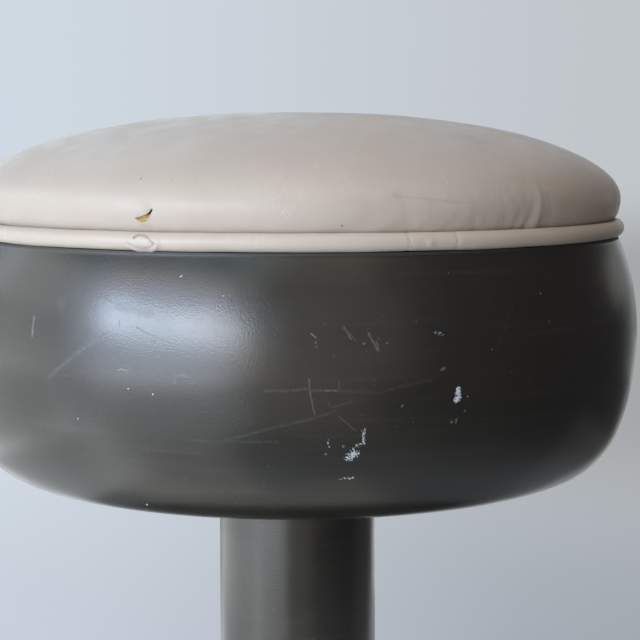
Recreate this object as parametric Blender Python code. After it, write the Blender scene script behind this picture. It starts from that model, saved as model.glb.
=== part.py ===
"""Swivel pedestal stool: a round upholstered lid on a spun steel drum, turning on a ball
bearing in the head of a tubular column that stands on a weighted dish base.

Metres, +Z up, origin on the floor under the column's axis. Turned pieces are outlines of
(radius, height) points spun about Z, flat pieces are outlines with holes, extruded.
"""

import math

import bmesh
import bpy
from mathutils import Vector

# Clearances
FIT_GAP = 0.0003            # between pieces that touch, press together or are welded
RUN_GAP = 0.0015            # between the turning drum and the standing column head

# Drum: spun steel bowl, widest at its equator
EQUATOR_HEIGHT = 0.335      # floor to the drum's widest level
DRUM_RADIUS = 0.175
DRUM_WALL = 0.002
DRUM_SHOULDER = 0.053       # equator up to the rim
DRUM_MOUTH_DRAW_IN = 0.0107  # how far the wall leans in at the rim
DRUM_SHOULDER_POWER = 2.3
DRUM_BELLY = 0.0653         # equator down to the outside of the floor
DRUM_FLOOR_RADIUS = 0.1225
BELLY_RADIAL_POWER = 4.65   # superellipse powers of the belly's curve
BELLY_HEIGHT_POWER = 1.57
DRUM_RIM_FILLET = 0.003
DRUM_RIM_WIDTH = 0.017      # flat flange turned in at the rim, which the lid lies on

# Lid: plywood board, foam, leather cover and piping
COVER_THICKNESS = 0.0015
CUSHION_OVERHANG = 0.0012   # cushion's widest level beyond the drum's mouth
CUSHION_WIDEST = 0.017      # rim up to the cushion's widest level
CUSHION_CROWN = 0.0447      # widest level up to the crown
DOME_RADIAL_POWER = 2.22    # superellipse powers of the crown's curve
DOME_HEIGHT_POWER = 2.03
TUCK_POWER = 2.0            # the same for the side that is drawn in to the seam
BOARD_THICKNESS = 0.012
HEM_WIDTH = 0.028           # cover turned under the board
PIPING_RADIUS = 0.004
PIPING_SETBACK = 0.0013     # middle of the piping inside the drum's mouth

# Swivel plate and its bolts, which tie drum, plate and board together
BOLT_OFFSET = 0.053         # axis to each bolt, along both sides of the square plate
PLATE_EDGE_MARGIN = 0.017   # bolt to the plate's edge
PLATE_CORNER_RADIUS = 0.018
PLATE_THICKNESS = 0.005
BOLT_RADIUS = 0.004
BOLT_HEAD_ACROSS = 0.013
BOLT_HEAD_HEIGHT = 0.0053
BOLT_SETBACK = 0.003        # bolt's tip below the board's top
WASHER_RADIUS = 0.009
WASHER_THICKNESS = 0.0016
SPACER_WALL = 0.003
TEE_NUT_WALL = 0.001
TEE_NUT_FLANGE_RADIUS = 0.0095
TEE_NUT_FLANGE = 0.0015
TEE_NUT_DEPTH = 0.009

# Stem and caged ball thrust bearing
STEM_RADIUS = 0.0125
STEM_SHOULDER = 0.0025      # step down to the end that is welded into the plate
STEM_CHAMFER = 0.0015
STEM_TAIL = 0.006           # stem below its retaining ring
RACE_WIDTH = 0.0107
RACE_WEB = 0.0037           # metal behind the ball groove
BALL_RADIUS = 0.0035
BALL_SPACE = 0.0024         # least space between neighbouring balls
BALL_SINK = 0.0006          # how deep a ball lies in each race
CAGE_THICKNESS = 0.0016
RETAINER_GROOVE_DEPTH = 0.0015
RETAINER_THICKNESS = 0.0015
RETAINER_WIDTH = 0.005
RETAINER_OPENING = math.radians(70)
RETAINING_WASHER_WIDTH = 0.0052
RETAINING_WASHER_THICKNESS = 0.002

# Column and the two nylon plugs that guide the stem
COLUMN_RADIUS = 0.0415
COLUMN_WALL = 0.0025
PLUG_FLANGE = 0.002
PLUG_DECK = 0.006
PLUG_SKIRT = 0.003
PLUG_BOSS_WALL = 0.0065
UPPER_PLUG_LENGTH = 0.042
LOWER_PLUG_LENGTH = 0.026
PLUG_DISTANCE = 0.054       # bottom of the upper plug down to the top of the lower one
PLUG_RIB_COUNT = 6
PLUG_RIB_THICKNESS = 0.003

# Base: spun dish over a cast ballast plate, on a rubber ring
BASE_RADIUS = 0.190
DISH_WALL = 0.002
DISH_SKIRT = 0.0082         # straight wall from the ring up to where the edge rounds over
DISH_EDGE_RADIUS = 0.011
DISH_EDGE_LEAN = 6.0        # degrees by which the rounded edge stops short of level
DISH_COLLAR_LIP = 0.002     # straight collar round the column, above its fillet
DISH_COLLAR_FILLET = 0.010
DISH_FILLET_LEAN = 5.0      # degrees by which the collar's fillet stops short of level
DISH_SLOPE_RISE = 0.012     # rise of the dish from its edge to the collar's fillet
RING_FOOT_WIDTH = 0.028
RING_FOOT_HEIGHT = 0.0035
RING_LIP_HEIGHT = 0.006
RING_LIP_WIDTH = 0.003
BALLAST_MARGIN = 0.0087     # ballast's edge inside the ring's lip
BALLAST_THICKNESS = 0.010
BALLAST_HUB_MARGIN = 0.0085  # hub's top beyond the column
BALLAST_HUB_RISE = 0.010
BALLAST_HUB_DRAFT = 0.008
BALLAST_RECESS_MARGIN = 0.003
FOOT_PLATE_THICKNESS = 0.010
BASE_BOLT_RADIUS = 0.006
BASE_BOLT_HEAD_ACROSS = 0.019
BASE_BOLT_HEAD_HEIGHT = 0.0065
BASE_WASHER_RADIUS = 0.017
BASE_WASHER_THICKNESS = 0.002
BASE_BOLT_SETBACK = 0.0019  # bolt's head above the ballast's underside

# Facets round a turn, and along a curved stretch of outline
BODY_FACETS = 48
COLUMN_FACETS = 32
SHAFT_FACETS = 20
BOLT_FACETS = 12
BELLY_STEPS = 8
SHOULDER_STEPS = 4
DOME_STEPS = 7
TUCK_STEPS = 2
FILLET_STEPS = 3
EDGE_STEPS = 4
GROOVE_STEPS = 3
PIPING_FACETS = 8
BALL_RINGS = 6
BALL_SEGMENTS = 8
CURVE_SAMPLES = 300         # close points from which those along a curve are chosen

# Levels worked out from the sizes above, bottom to top
RIM_HEIGHT = EQUATOR_HEIGHT + DRUM_SHOULDER
FLOOR_UNDERSIDE = EQUATOR_HEIGHT - DRUM_BELLY
FLOOR_TOP = FLOOR_UNDERSIDE + DRUM_WALL
PLATE_UNDERSIDE = FLOOR_TOP + FIT_GAP
PLATE_TOP = PLATE_UNDERSIDE + PLATE_THICKNESS
BEARING_HEIGHT = 2 * (BALL_RADIUS + FIT_GAP + RACE_WEB)
BEARING_TOP = PLATE_UNDERSIDE - FIT_GAP
BEARING_BOTTOM = BEARING_TOP - BEARING_HEIGHT
BALL_LEVEL = BEARING_TOP - BEARING_HEIGHT / 2
HEAD_TOP = FLOOR_UNDERSIDE - RUN_GAP
COLUMN_TOP = HEAD_TOP - PLUG_FLANGE - FIT_GAP
UPPER_DECK_TOP = BEARING_BOTTOM - FIT_GAP
LOWER_DECK_TOP = UPPER_DECK_TOP - UPPER_PLUG_LENGTH - PLUG_DISTANCE
HEM_UNDERSIDE = RIM_HEIGHT + FIT_GAP
BOARD_UNDERSIDE = HEM_UNDERSIDE + COVER_THICKNESS + FIT_GAP
BOARD_TOP = BOARD_UNDERSIDE + BOARD_THICKNESS
WIDEST_HEIGHT = RIM_HEIGHT + CUSHION_WIDEST
CROWN_HEIGHT = WIDEST_HEIGHT + CUSHION_CROWN
PIPING_HEIGHT = RIM_HEIGHT + FIT_GAP + PIPING_RADIUS
BALLAST_UNDERSIDE = RING_FOOT_HEIGHT + FIT_GAP
BALLAST_TOP = BALLAST_UNDERSIDE + BALLAST_THICKNESS
HUB_TOP = BALLAST_TOP + BALLAST_HUB_RISE
COLUMN_BOTTOM = HUB_TOP + FIT_GAP
BASE_BOLT_HEAD_BOTTOM = BALLAST_UNDERSIDE + BASE_BOLT_SETBACK
BASE_WASHER_BOTTOM = BASE_BOLT_HEAD_BOTTOM + BASE_BOLT_HEAD_HEIGHT + FIT_GAP
RECESS_TOP = BASE_WASHER_BOTTOM + BASE_WASHER_THICKNESS + FIT_GAP
DISH_EDGE_HEIGHT = BALLAST_UNDERSIDE + DISH_SKIRT

# Radii worked out from the sizes above
MOUTH_RADIUS = DRUM_RADIUS - DRUM_MOUTH_DRAW_IN
CUSHION_RADIUS = MOUTH_RADIUS + CUSHION_OVERHANG
PIPING_RING_RADIUS = MOUTH_RADIUS - PIPING_SETBACK
COVER_WAIST_RADIUS = PIPING_RING_RADIUS - PIPING_RADIUS - FIT_GAP
BOARD_RADIUS = COVER_WAIST_RADIUS - COVER_THICKNESS - FIT_GAP
PLATE_HALF_SIDE = BOLT_OFFSET + PLATE_EDGE_MARGIN
STEM_BORE = STEM_RADIUS + FIT_GAP
STEM_SPIGOT_RADIUS = STEM_RADIUS - STEM_SHOULDER
BOSS_RADIUS = STEM_BORE + PLUG_BOSS_WALL
BEARING_RADIUS = STEM_BORE + RACE_WIDTH
BALL_CIRCLE_RADIUS = STEM_BORE + RACE_WIDTH / 2
BALL_COUNT = int(math.tau * BALL_CIRCLE_RADIUS / (2 * BALL_RADIUS + BALL_SPACE))
BEARING_POCKET = BEARING_RADIUS + FIT_GAP
COLUMN_BORE = COLUMN_RADIUS - COLUMN_WALL
PLUG_RADIUS = COLUMN_BORE - FIT_GAP
DRUM_FLOOR_HOLE = BEARING_POCKET + PLUG_SKIRT
SPACER_BORE = BOLT_RADIUS + FIT_GAP
SPACER_RADIUS = SPACER_BORE + SPACER_WALL
TEE_NUT_BARREL = BOLT_RADIUS + FIT_GAP + TEE_NUT_WALL
RING_LIP_RADIUS = BASE_RADIUS - DISH_WALL - FIT_GAP
BALLAST_RADIUS = RING_LIP_RADIUS - RING_LIP_WIDTH - BALLAST_MARGIN
BALLAST_HUB_RADIUS = COLUMN_RADIUS + BALLAST_HUB_MARGIN
BALLAST_RECESS_RADIUS = BASE_WASHER_RADIUS + BALLAST_RECESS_MARGIN


# Materials

def finish(name, colour, roughness, metallic=0.0):
    """A Principled material of one colour."""
    material = bpy.data.materials.new(name)
    material.use_nodes = True
    shader = material.node_tree.nodes["Principled BSDF"]
    shader.inputs["Base Color"].default_value = (*colour, 1.0)
    shader.inputs["Roughness"].default_value = roughness
    shader.inputs["Metallic"].default_value = metallic
    material.diffuse_color = (*colour, 1.0)
    return material


def make_finishes():
    """Every finish on the stool, by name."""
    return {
        "paint": finish("olive_brown_paint", (0.052, 0.048, 0.040), 0.42),
        "leather": finish("cream_leather", (0.57, 0.49, 0.42), 0.5),
        "foam": finish("yellow_foam", (0.62, 0.44, 0.14), 0.95),
        "plywood": finish("birch_plywood", (0.55, 0.40, 0.25), 0.7),
        "steel": finish("plain_steel", (0.45, 0.45, 0.46), 0.38, 1.0),
        "zinc": finish("zinc_plate", (0.62, 0.62, 0.60), 0.32, 1.0),
        "hard_steel": finish("bearing_steel", (0.70, 0.70, 0.72), 0.15, 1.0),
        "nylon": finish("white_nylon", (0.70, 0.69, 0.64), 0.5),
        "iron": finish("cast_iron", (0.09, 0.09, 0.09), 0.75, 0.6),
        "rubber": finish("black_rubber", (0.025, 0.025, 0.025), 0.8),
    }


# Solids

def add_object(name, mesh, material, sharp_angle=40.0):
    """Links a mesh to the scene as a named, smooth-shaded object with one material."""
    mesh.shade_smooth()
    mesh.set_sharp_from_angle(angle=math.radians(sharp_angle))
    mesh.materials.append(material)
    thing = bpy.data.objects.new(name, mesh)
    bpy.context.scene.collection.objects.link(thing)
    return thing


def mesh_from(name, solid):
    """Closes a bmesh into a mesh whose faces point outwards."""
    bmesh.ops.remove_doubles(solid, verts=solid.verts, dist=1e-6)
    bmesh.ops.recalc_face_normals(solid, faces=solid.faces)
    mesh = bpy.data.meshes.new(name)
    solid.to_mesh(mesh)
    solid.free()
    return mesh


def turned(name, outline, material, facets, closed=True):
    """Spins an outline of (radius, height) points about Z.

    An outline that isn't closed starts and ends on the axis.
    """
    solid = bmesh.new()
    points = [solid.verts.new((radius, 0.0, height)) for radius, height in outline]
    pairs = list(zip(points, points[1:]))
    if closed:
        pairs.append((points[-1], points[0]))
    edges = [solid.edges.new(pair) for pair in pairs]
    bmesh.ops.spin(
        solid, geom=points + edges, angle=math.tau, steps=facets,
        axis=(0, 0, 1), cent=(0, 0, 0), use_merge=True,
    )
    return add_object(name, mesh_from(name, solid), material)


def lofted(name, rings, material):
    """Joins rings of (radii round the turn, height), bottom to top, and caps both ends."""
    solid = bmesh.new()
    loops = []
    for radii, height in rings:
        step = math.tau / len(radii)
        loops.append([
            solid.verts.new((r * math.cos(i * step), r * math.sin(i * step), height))
            for i, r in enumerate(radii)
        ])
    for low, high in zip(loops, loops[1:]):
        for i in range(len(low)):
            j = (i + 1) % len(low)
            solid.faces.new((low[i], low[j], high[j], high[i]))
    solid.faces.new(loops[0])
    solid.faces.new(loops[-1])
    return add_object(name, mesh_from(name, solid), material)


def flat(name, outlines, bottom, top, material):
    """Extrudes an outline, with any holes as further outlines, from one level to another."""
    curve = bpy.data.curves.new(name, "CURVE")
    curve.dimensions = "2D"
    curve.fill_mode = "BOTH"
    curve.extrude = (top - bottom) / 2
    for outline in outlines:
        spline = curve.splines.new("POLY")
        spline.points.add(len(outline) - 1)
        for point, (x, y) in zip(spline.points, outline):
            point.co = (x, y, 0.0, 1.0)
        spline.use_cyclic_u = True
    curve.materials.append(material)
    thing = bpy.data.objects.new(name, curve)
    thing.location.z = (bottom + top) / 2
    bpy.context.scene.collection.objects.link(thing)
    return thing


def boolean(thing, operation, other):
    """Adds or cuts one solid with another, which then only guides the shape."""
    modifier = thing.modifiers.new(f"{operation.lower()}_{other.name}", "BOOLEAN")
    modifier.operation = operation
    modifier.object = other
    other.hide_render = True
    other.display_type = "WIRE"


# Outlines

def circle(radius, facets, centre=(0.0, 0.0)):
    """Points round a circle."""
    step = math.tau / facets
    return [
        (centre[0] + radius * math.cos(i * step), centre[1] + radius * math.sin(i * step))
        for i in range(facets)
    ]


def arc(centre, radius, start, end, steps):
    """Points along an arc, angles in degrees, both ends included."""
    turns = [math.radians(start + (end - start) * i / steps) for i in range(steps + 1)]
    return [(centre[0] + radius * math.cos(a), centre[1] + radius * math.sin(a)) for a in turns]


def thinned(curve, steps):
    """Chooses points along a curve of close points: nearer together where it bends more."""
    shares = [0.0]
    for before, here, after in zip(curve, curve[1:], curve[2:]):
        arriving = Vector(here) - Vector(before)
        leaving = Vector(after) - Vector(here)
        shares.append(shares[-1] + arriving.angle(leaving))
    bend = shares[-1]
    shares = [share / bend + i / len(curve) / 2 for i, share in enumerate(shares)]
    inner = [
        min(range(len(shares)), key=lambda i: abs(shares[i] - shares[-1] * step / steps))
        for step in range(1, steps)
    ]
    return [curve[0], *(curve[i] for i in inner), curve[-1]]


def superellipse(inner, outer, rise, radial_power, height_power, steps):
    """A quarter curve from (outer, 0) to (inner, rise)."""
    curve = []
    for i in range(CURVE_SAMPLES):
        turn = math.pi / 2 * i / CURVE_SAMPLES
        along = math.cos(turn) ** (2 / radial_power)
        up = math.sin(turn) ** (2 / height_power)
        curve.append((inner + (outer - inner) * along, rise * up))
    return thinned([*curve, (inner, rise)], steps)


def inset(outline, distance):
    """An open outline moved by a distance to the right of its direction, square to itself."""
    points = [Vector(p) for p in outline]
    moved = []
    for i, point in enumerate(points):
        before = (point - points[i - 1]).normalized() if i else None
        after = (points[i + 1] - point).normalized() if i + 1 < len(points) else None
        along = ((before or after) + (after or before)).normalized()
        side = Vector((along.y, -along.x))
        lean = side.dot(Vector(((before or after).y, -(before or after).x)))
        moved.append(point + side * (distance / max(lean, 0.5)))
    return [(max(p.x, 0.0), p.y) for p in moved]


def corners(offset):
    """The four corners of a square about the axis, in turn."""
    return [(offset, offset), (-offset, offset), (-offset, -offset), (offset, -offset)]


def bolt_places():
    """Centres of the tie bolts, one in each corner of the swivel plate."""
    return corners(BOLT_OFFSET)


# Drum

def drum_outside():
    """The drum's outer outline, from the rim's inner edge round to the floor's hole."""
    wall = []
    for i in range(SHOULDER_STEPS + 1):
        share = (1 - i / SHOULDER_STEPS) * (1 - DRUM_RIM_FILLET / DRUM_SHOULDER)
        lean = DRUM_MOUTH_DRAW_IN * share ** DRUM_SHOULDER_POWER
        wall.append((DRUM_RADIUS - lean, EQUATOR_HEIGHT + share * DRUM_SHOULDER))
    fillet_centre = (wall[0][0] - DRUM_RIM_FILLET, RIM_HEIGHT - DRUM_RIM_FILLET)
    rim = arc(fillet_centre, DRUM_RIM_FILLET, 90, 0, FILLET_STEPS)[:-1]
    belly = superellipse(
        DRUM_FLOOR_RADIUS, DRUM_RADIUS, -DRUM_BELLY,
        BELLY_RADIAL_POWER, BELLY_HEIGHT_POWER, BELLY_STEPS,
    )
    lower = [(r, EQUATOR_HEIGHT + z) for r, z in belly[1:]]
    start = (rim[0][0] - DRUM_RIM_WIDTH, RIM_HEIGHT)
    return [start, *rim, *wall, *lower, (DRUM_FLOOR_HOLE, FLOOR_UNDERSIDE)]


def make_drum(finishes):
    """Spun bowl: flange turned in at the rim, leaning shoulder, full belly, flat floor."""
    outside = drum_outside()
    inside = inset(outside, DRUM_WALL)
    drum = turned("seat_drum", outside + inside[::-1], finishes["paint"], BODY_FACETS)
    for number, (x, y) in enumerate(bolt_places(), 1):
        cutter = lofted(
            f"drum_bolt_hole_{number}",
            [([SPACER_BORE] * BOLT_FACETS, FLOOR_UNDERSIDE - DRUM_WALL),
             ([SPACER_BORE] * BOLT_FACETS, FLOOR_TOP + DRUM_WALL)],
            finishes["paint"],
        )
        cutter.location = (x, y, 0.0)
        boolean(drum, "DIFFERENCE", cutter)


# Lid

def cushion_outside():
    """The cover's outer outline from the crown to the seam above the piping."""
    dome = superellipse(
        0.0, CUSHION_RADIUS, CUSHION_CROWN, DOME_RADIAL_POWER, DOME_HEIGHT_POWER, DOME_STEPS
    )
    top = [(r, WIDEST_HEIGHT + z) for r, z in reversed(dome)]
    seam_radius = PIPING_RING_RADIUS - PIPING_RADIUS / 2
    seam_height = PIPING_HEIGHT + PIPING_RADIUS
    tuck = superellipse(
        seam_radius, CUSHION_RADIUS, seam_height - WIDEST_HEIGHT,
        TUCK_POWER, TUCK_POWER, TUCK_STEPS,
    )
    return top + [(r, WIDEST_HEIGHT + z) for r, z in tuck[1:]]


def make_cover(finishes):
    """Leather cover: crowned top, drawn-in side, waist behind the piping, hem under the board."""
    hem_radius = BOARD_RADIUS - HEM_WIDTH
    waist_height = PIPING_HEIGHT + PIPING_RADIUS / 2
    outside = cushion_outside() + [
        (COVER_WAIST_RADIUS, waist_height),
        (COVER_WAIST_RADIUS, HEM_UNDERSIDE),
        (hem_radius, HEM_UNDERSIDE),
    ]
    inside = inset(outside, COVER_THICKNESS)
    turned("cushion_cover", outside + inside[::-1], finishes["leather"], BODY_FACETS, closed=False)


def make_foam(finishes):
    """Foam pad that fills the cover above the board."""
    bottom = BOARD_TOP + FIT_GAP
    skin = inset(cushion_outside(), COVER_THICKNESS + FIT_GAP)
    above = [p for p in skin if p[1] > bottom]
    last, following = above[-1], skin[len(above)]
    share = (last[1] - bottom) / (last[1] - following[1])
    edge = last[0] + (following[0] - last[0]) * share
    outline = above + [(edge, bottom), (0.0, bottom)]
    turned("foam_pad", outline, finishes["foam"], BODY_FACETS, closed=False)


def make_piping(finishes):
    """Round leather piping that lies on the drum's rim."""
    section = circle(PIPING_RADIUS, PIPING_FACETS, (PIPING_RING_RADIUS, PIPING_HEIGHT))
    turned("piping", section, finishes["leather"], BODY_FACETS)


def make_board(finishes):
    """Plywood board with a stepped hole for each tee nut."""
    outline = [
        (0.0, BOARD_UNDERSIDE), (BOARD_RADIUS, BOARD_UNDERSIDE),
        (BOARD_RADIUS, BOARD_TOP), (0.0, BOARD_TOP),
    ]
    board = turned("seat_board", outline, finishes["plywood"], BODY_FACETS, closed=False)
    barrel = [TEE_NUT_BARREL + FIT_GAP] * BOLT_FACETS
    seat = [TEE_NUT_FLANGE_RADIUS + FIT_GAP] * BOLT_FACETS
    step = BOARD_TOP - TEE_NUT_FLANGE - 2 * FIT_GAP
    for number, (x, y) in enumerate(bolt_places(), 1):
        cutter = lofted(
            f"board_hole_{number}",
            [(barrel, BOARD_UNDERSIDE - BOARD_THICKNESS), (barrel, step),
             (seat, step), (seat, BOARD_TOP + BOARD_THICKNESS)],
            finishes["plywood"],
        )
        cutter.location = (x, y, 0.0)
        boolean(board, "DIFFERENCE", cutter)


# Swivel plate, tie bolts and what is on them

def make_swivel_plate(finishes):
    """Rounded square plate on the drum's floor, bored for the stem and the tie bolts."""
    outline = []
    for quarter, centre in enumerate(corners(PLATE_HALF_SIDE - PLATE_CORNER_RADIUS)):
        outline += arc(centre, PLATE_CORNER_RADIUS, 90 * quarter, 90 * (quarter + 1), FILLET_STEPS)
    holes = [circle(STEM_SPIGOT_RADIUS + FIT_GAP, SHAFT_FACETS)]
    holes += [circle(SPACER_BORE, BOLT_FACETS, place) for place in bolt_places()]
    flat("swivel_plate", [outline, *holes], PLATE_UNDERSIDE, PLATE_TOP, finishes["steel"])


def hexagon(across):
    """Radii of a hexagon's corners and sides, for a ring of BOLT_FACETS points."""
    side = across / 2
    return [side / math.cos(math.pi / 6) if i % 2 == 0 else side for i in range(BOLT_FACETS)]


def bolt(name, head_bottom, head_height, across, radius, tip, finish_of):
    """Hexagon-headed bolt, head down."""
    head = hexagon(across)
    shank = [radius] * BOLT_FACETS
    chamfer = radius / 4
    point = [radius - chamfer] * BOLT_FACETS
    top = head_bottom + head_height
    return lofted(
        name,
        [(head, head_bottom), (head, top), (shank, top), (shank, tip - chamfer), (point, tip)],
        finish_of,
    )


def tube(name, bore, radius, bottom, top, finish_of, facets):
    """Plain tube or washer."""
    outline = [(bore, bottom), (radius, bottom), (radius, top), (bore, top)]
    return turned(name, outline, finish_of, facets)


def make_tie_bolts(finishes):
    """Each tie bolt with its washer under the drum, spacer tube inside it and tee nut in the board."""
    washer_top = FLOOR_UNDERSIDE - FIT_GAP
    washer_bottom = washer_top - WASHER_THICKNESS
    head_bottom = washer_bottom - FIT_GAP - BOLT_HEAD_HEIGHT
    flange_top = BOARD_TOP - FIT_GAP
    flange_bottom = flange_top - TEE_NUT_FLANGE
    barrel_bottom = flange_top - TEE_NUT_DEPTH
    for number, place in enumerate(bolt_places(), 1):
        pieces = [
            bolt(
                f"tie_bolt_{number}", head_bottom, BOLT_HEAD_HEIGHT, BOLT_HEAD_ACROSS,
                BOLT_RADIUS, BOARD_TOP - BOLT_SETBACK, finishes["zinc"],
            ),
            tube(
                f"tie_washer_{number}", SPACER_BORE, WASHER_RADIUS,
                washer_bottom, washer_top, finishes["zinc"], BOLT_FACETS,
            ),
            tube(
                f"spacer_tube_{number}", SPACER_BORE, SPACER_RADIUS,
                PLATE_TOP + FIT_GAP, BOARD_UNDERSIDE - FIT_GAP, finishes["zinc"], BOLT_FACETS,
            ),
            turned(
                f"tee_nut_{number}",
                [(SPACER_BORE, barrel_bottom), (TEE_NUT_BARREL, barrel_bottom),
                 (TEE_NUT_BARREL, flange_bottom), (TEE_NUT_FLANGE_RADIUS, flange_bottom),
                 (TEE_NUT_FLANGE_RADIUS, flange_top), (SPACER_BORE, flange_top)],
                finishes["zinc"], BOLT_FACETS,
            ),
        ]
        for piece in pieces:
            piece.location = (*place, 0.0)


# Stem and bearing

def retainer_levels():
    """Bottom and top of the retaining ring, under its washer and the lower plug."""
    washer_bottom = LOWER_DECK_TOP - LOWER_PLUG_LENGTH - FIT_GAP - RETAINING_WASHER_THICKNESS
    top = washer_bottom - FIT_GAP
    return top - RETAINER_THICKNESS, top


def make_stem(finishes):
    """Turned stem: spigot into the plate, shoulder, groove for the retaining ring, chamfered tail."""
    ring_bottom, ring_top = retainer_levels()
    groove = STEM_RADIUS - RETAINER_GROOVE_DEPTH
    shoulder = PLATE_UNDERSIDE - FIT_GAP
    end = ring_bottom - STEM_TAIL
    outline = [
        (0.0, PLATE_TOP),
        (STEM_SPIGOT_RADIUS, PLATE_TOP),
        (STEM_SPIGOT_RADIUS, shoulder),
        (STEM_RADIUS, shoulder),
        (STEM_RADIUS, ring_top + FIT_GAP),
        (groove, ring_top + FIT_GAP),
        (groove, ring_bottom - FIT_GAP),
        (STEM_RADIUS, ring_bottom - FIT_GAP),
        (STEM_RADIUS, end + STEM_CHAMFER),
        (STEM_RADIUS - STEM_CHAMFER, end),
        (0.0, end),
    ]
    turned("swivel_stem", outline, finishes["steel"], SHAFT_FACETS, closed=False)


def make_retainer(finishes):
    """Open spring ring in the stem's groove, and the washer that it holds under the lower plug."""
    bottom, top = retainer_levels()
    inner = STEM_RADIUS - RETAINER_GROOVE_DEPTH + FIT_GAP
    half = math.degrees(RETAINER_OPENING) / 2
    outer_arc = arc((0.0, 0.0), inner + RETAINER_WIDTH, half, 360 - half, SHAFT_FACETS)
    inner_arc = arc((0.0, 0.0), inner, 360 - half, half, SHAFT_FACETS)
    flat("retaining_ring", [outer_arc + inner_arc], bottom, top, finishes["hard_steel"])
    washer_bottom = top + FIT_GAP
    tube(
        "retaining_washer", STEM_BORE, STEM_BORE + RETAINING_WASHER_WIDTH,
        washer_bottom, washer_bottom + RETAINING_WASHER_THICKNESS, finishes["zinc"], SHAFT_FACETS,
    )


def race_outline(outer_level, side):
    """A race's outline: flat outside at outer_level, ball groove on the side that faces the balls.

    side is 1 for the lower race, whose groove faces up, and -1 for the upper race.
    """
    groove_radius = BALL_RADIUS + FIT_GAP
    lip = BALL_LEVEL - side * (BALL_RADIUS - BALL_SINK)
    half_width = math.sqrt(groove_radius ** 2 - (BALL_LEVEL - lip) ** 2)
    spread = math.degrees(math.atan2(half_width, abs(BALL_LEVEL - lip)))
    groove = arc(
        (BALL_CIRCLE_RADIUS, BALL_LEVEL), groove_radius,
        -90 * side + side * spread, -90 * side - side * spread, GROOVE_STEPS,
    )
    return [
        (STEM_BORE, outer_level), (BEARING_RADIUS, outer_level),
        (BEARING_RADIUS, lip), *groove, (STEM_BORE, lip),
    ]


def make_bearing(finishes):
    """Thrust bearing: two grooved races, and balls held apart by a flat cage."""
    turned("lower_race", race_outline(BEARING_BOTTOM, 1), finishes["hard_steel"], COLUMN_FACETS)
    turned("upper_race", race_outline(BEARING_TOP, -1), finishes["hard_steel"], COLUMN_FACETS)
    turns = [math.tau * i / BALL_COUNT for i in range(BALL_COUNT)]
    places = [(BALL_CIRCLE_RADIUS * math.cos(a), BALL_CIRCLE_RADIUS * math.sin(a)) for a in turns]
    pockets = [circle(BALL_RADIUS + FIT_GAP, BOLT_FACETS, place) for place in places]
    cage_bore = circle(STEM_BORE + FIT_GAP, SHAFT_FACETS)
    cage_edge = circle(BEARING_RADIUS - FIT_GAP, COLUMN_FACETS)
    flat(
        "ball_cage", [cage_edge, cage_bore, *pockets],
        BALL_LEVEL - CAGE_THICKNESS / 2, BALL_LEVEL + CAGE_THICKNESS / 2, finishes["nylon"],
    )
    ball = bmesh.new()
    bmesh.ops.create_uvsphere(
        ball, u_segments=BALL_SEGMENTS, v_segments=BALL_RINGS, radius=BALL_RADIUS
    )
    for number, place in enumerate(places, 1):
        name = f"bearing_ball_{number:02d}"
        thing = add_object(name, mesh_from(name, ball.copy()), finishes["hard_steel"], 180.0)
        thing.location = (*place, BALL_LEVEL)
    ball.free()


# Column

def make_plug(name, top_outline, deck_top, length, finishes):
    """Nylon plug: deck, skirt in the tube, bored boss round the stem, and ribs between them.

    top_outline runs over the plug's upper side, from the bore out to the top of the skirt.
    """
    deck_bottom = deck_top - PLUG_DECK
    bottom = deck_top - length
    skirt_bore = PLUG_RADIUS - PLUG_SKIRT
    outline = top_outline + [
        (PLUG_RADIUS, bottom), (skirt_bore, bottom), (skirt_bore, deck_bottom),
        (BOSS_RADIUS, deck_bottom), (BOSS_RADIUS, bottom), (STEM_BORE, bottom),
    ]
    plug = turned(name, outline, finishes["nylon"], COLUMN_FACETS)
    overlap = PLUG_SKIRT / 2
    inner, outer = BOSS_RADIUS - overlap, skirt_bore + overlap
    half = PLUG_RIB_THICKNESS / 2
    for number in range(PLUG_RIB_COUNT):
        rib = bmesh.new()
        bmesh.ops.create_cube(rib, size=1.0)
        bmesh.ops.scale(
            rib, verts=rib.verts,
            vec=(outer - inner, 2 * half, length - PLUG_DECK - PLUG_SKIRT + overlap),
        )
        bmesh.ops.translate(
            rib, verts=rib.verts,
            vec=((inner + outer) / 2, 0.0, (bottom + PLUG_SKIRT + deck_bottom + overlap) / 2),
        )
        rib_name = f"{name}_rib_{number + 1}"
        thing = add_object(rib_name, mesh_from(rib_name, rib), finishes["nylon"])
        thing.rotation_euler.z = math.tau * number / PLUG_RIB_COUNT
        boolean(plug, "UNION", thing)


def make_plugs(finishes):
    """The upper plug holds the bearing and caps the tube. The lower one steadies the stem."""
    flange_bottom = HEAD_TOP - PLUG_FLANGE
    make_plug(
        "upper_bearing_plug",
        [(STEM_BORE, UPPER_DECK_TOP), (BEARING_POCKET, UPPER_DECK_TOP), (BEARING_POCKET, HEAD_TOP),
         (COLUMN_RADIUS, HEAD_TOP), (COLUMN_RADIUS, flange_bottom), (PLUG_RADIUS, flange_bottom)],
        UPPER_DECK_TOP, UPPER_PLUG_LENGTH, finishes,
    )
    make_plug(
        "lower_bearing_plug",
        [(STEM_BORE, LOWER_DECK_TOP), (PLUG_RADIUS, LOWER_DECK_TOP)],
        LOWER_DECK_TOP, LOWER_PLUG_LENGTH, finishes,
    )


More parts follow.
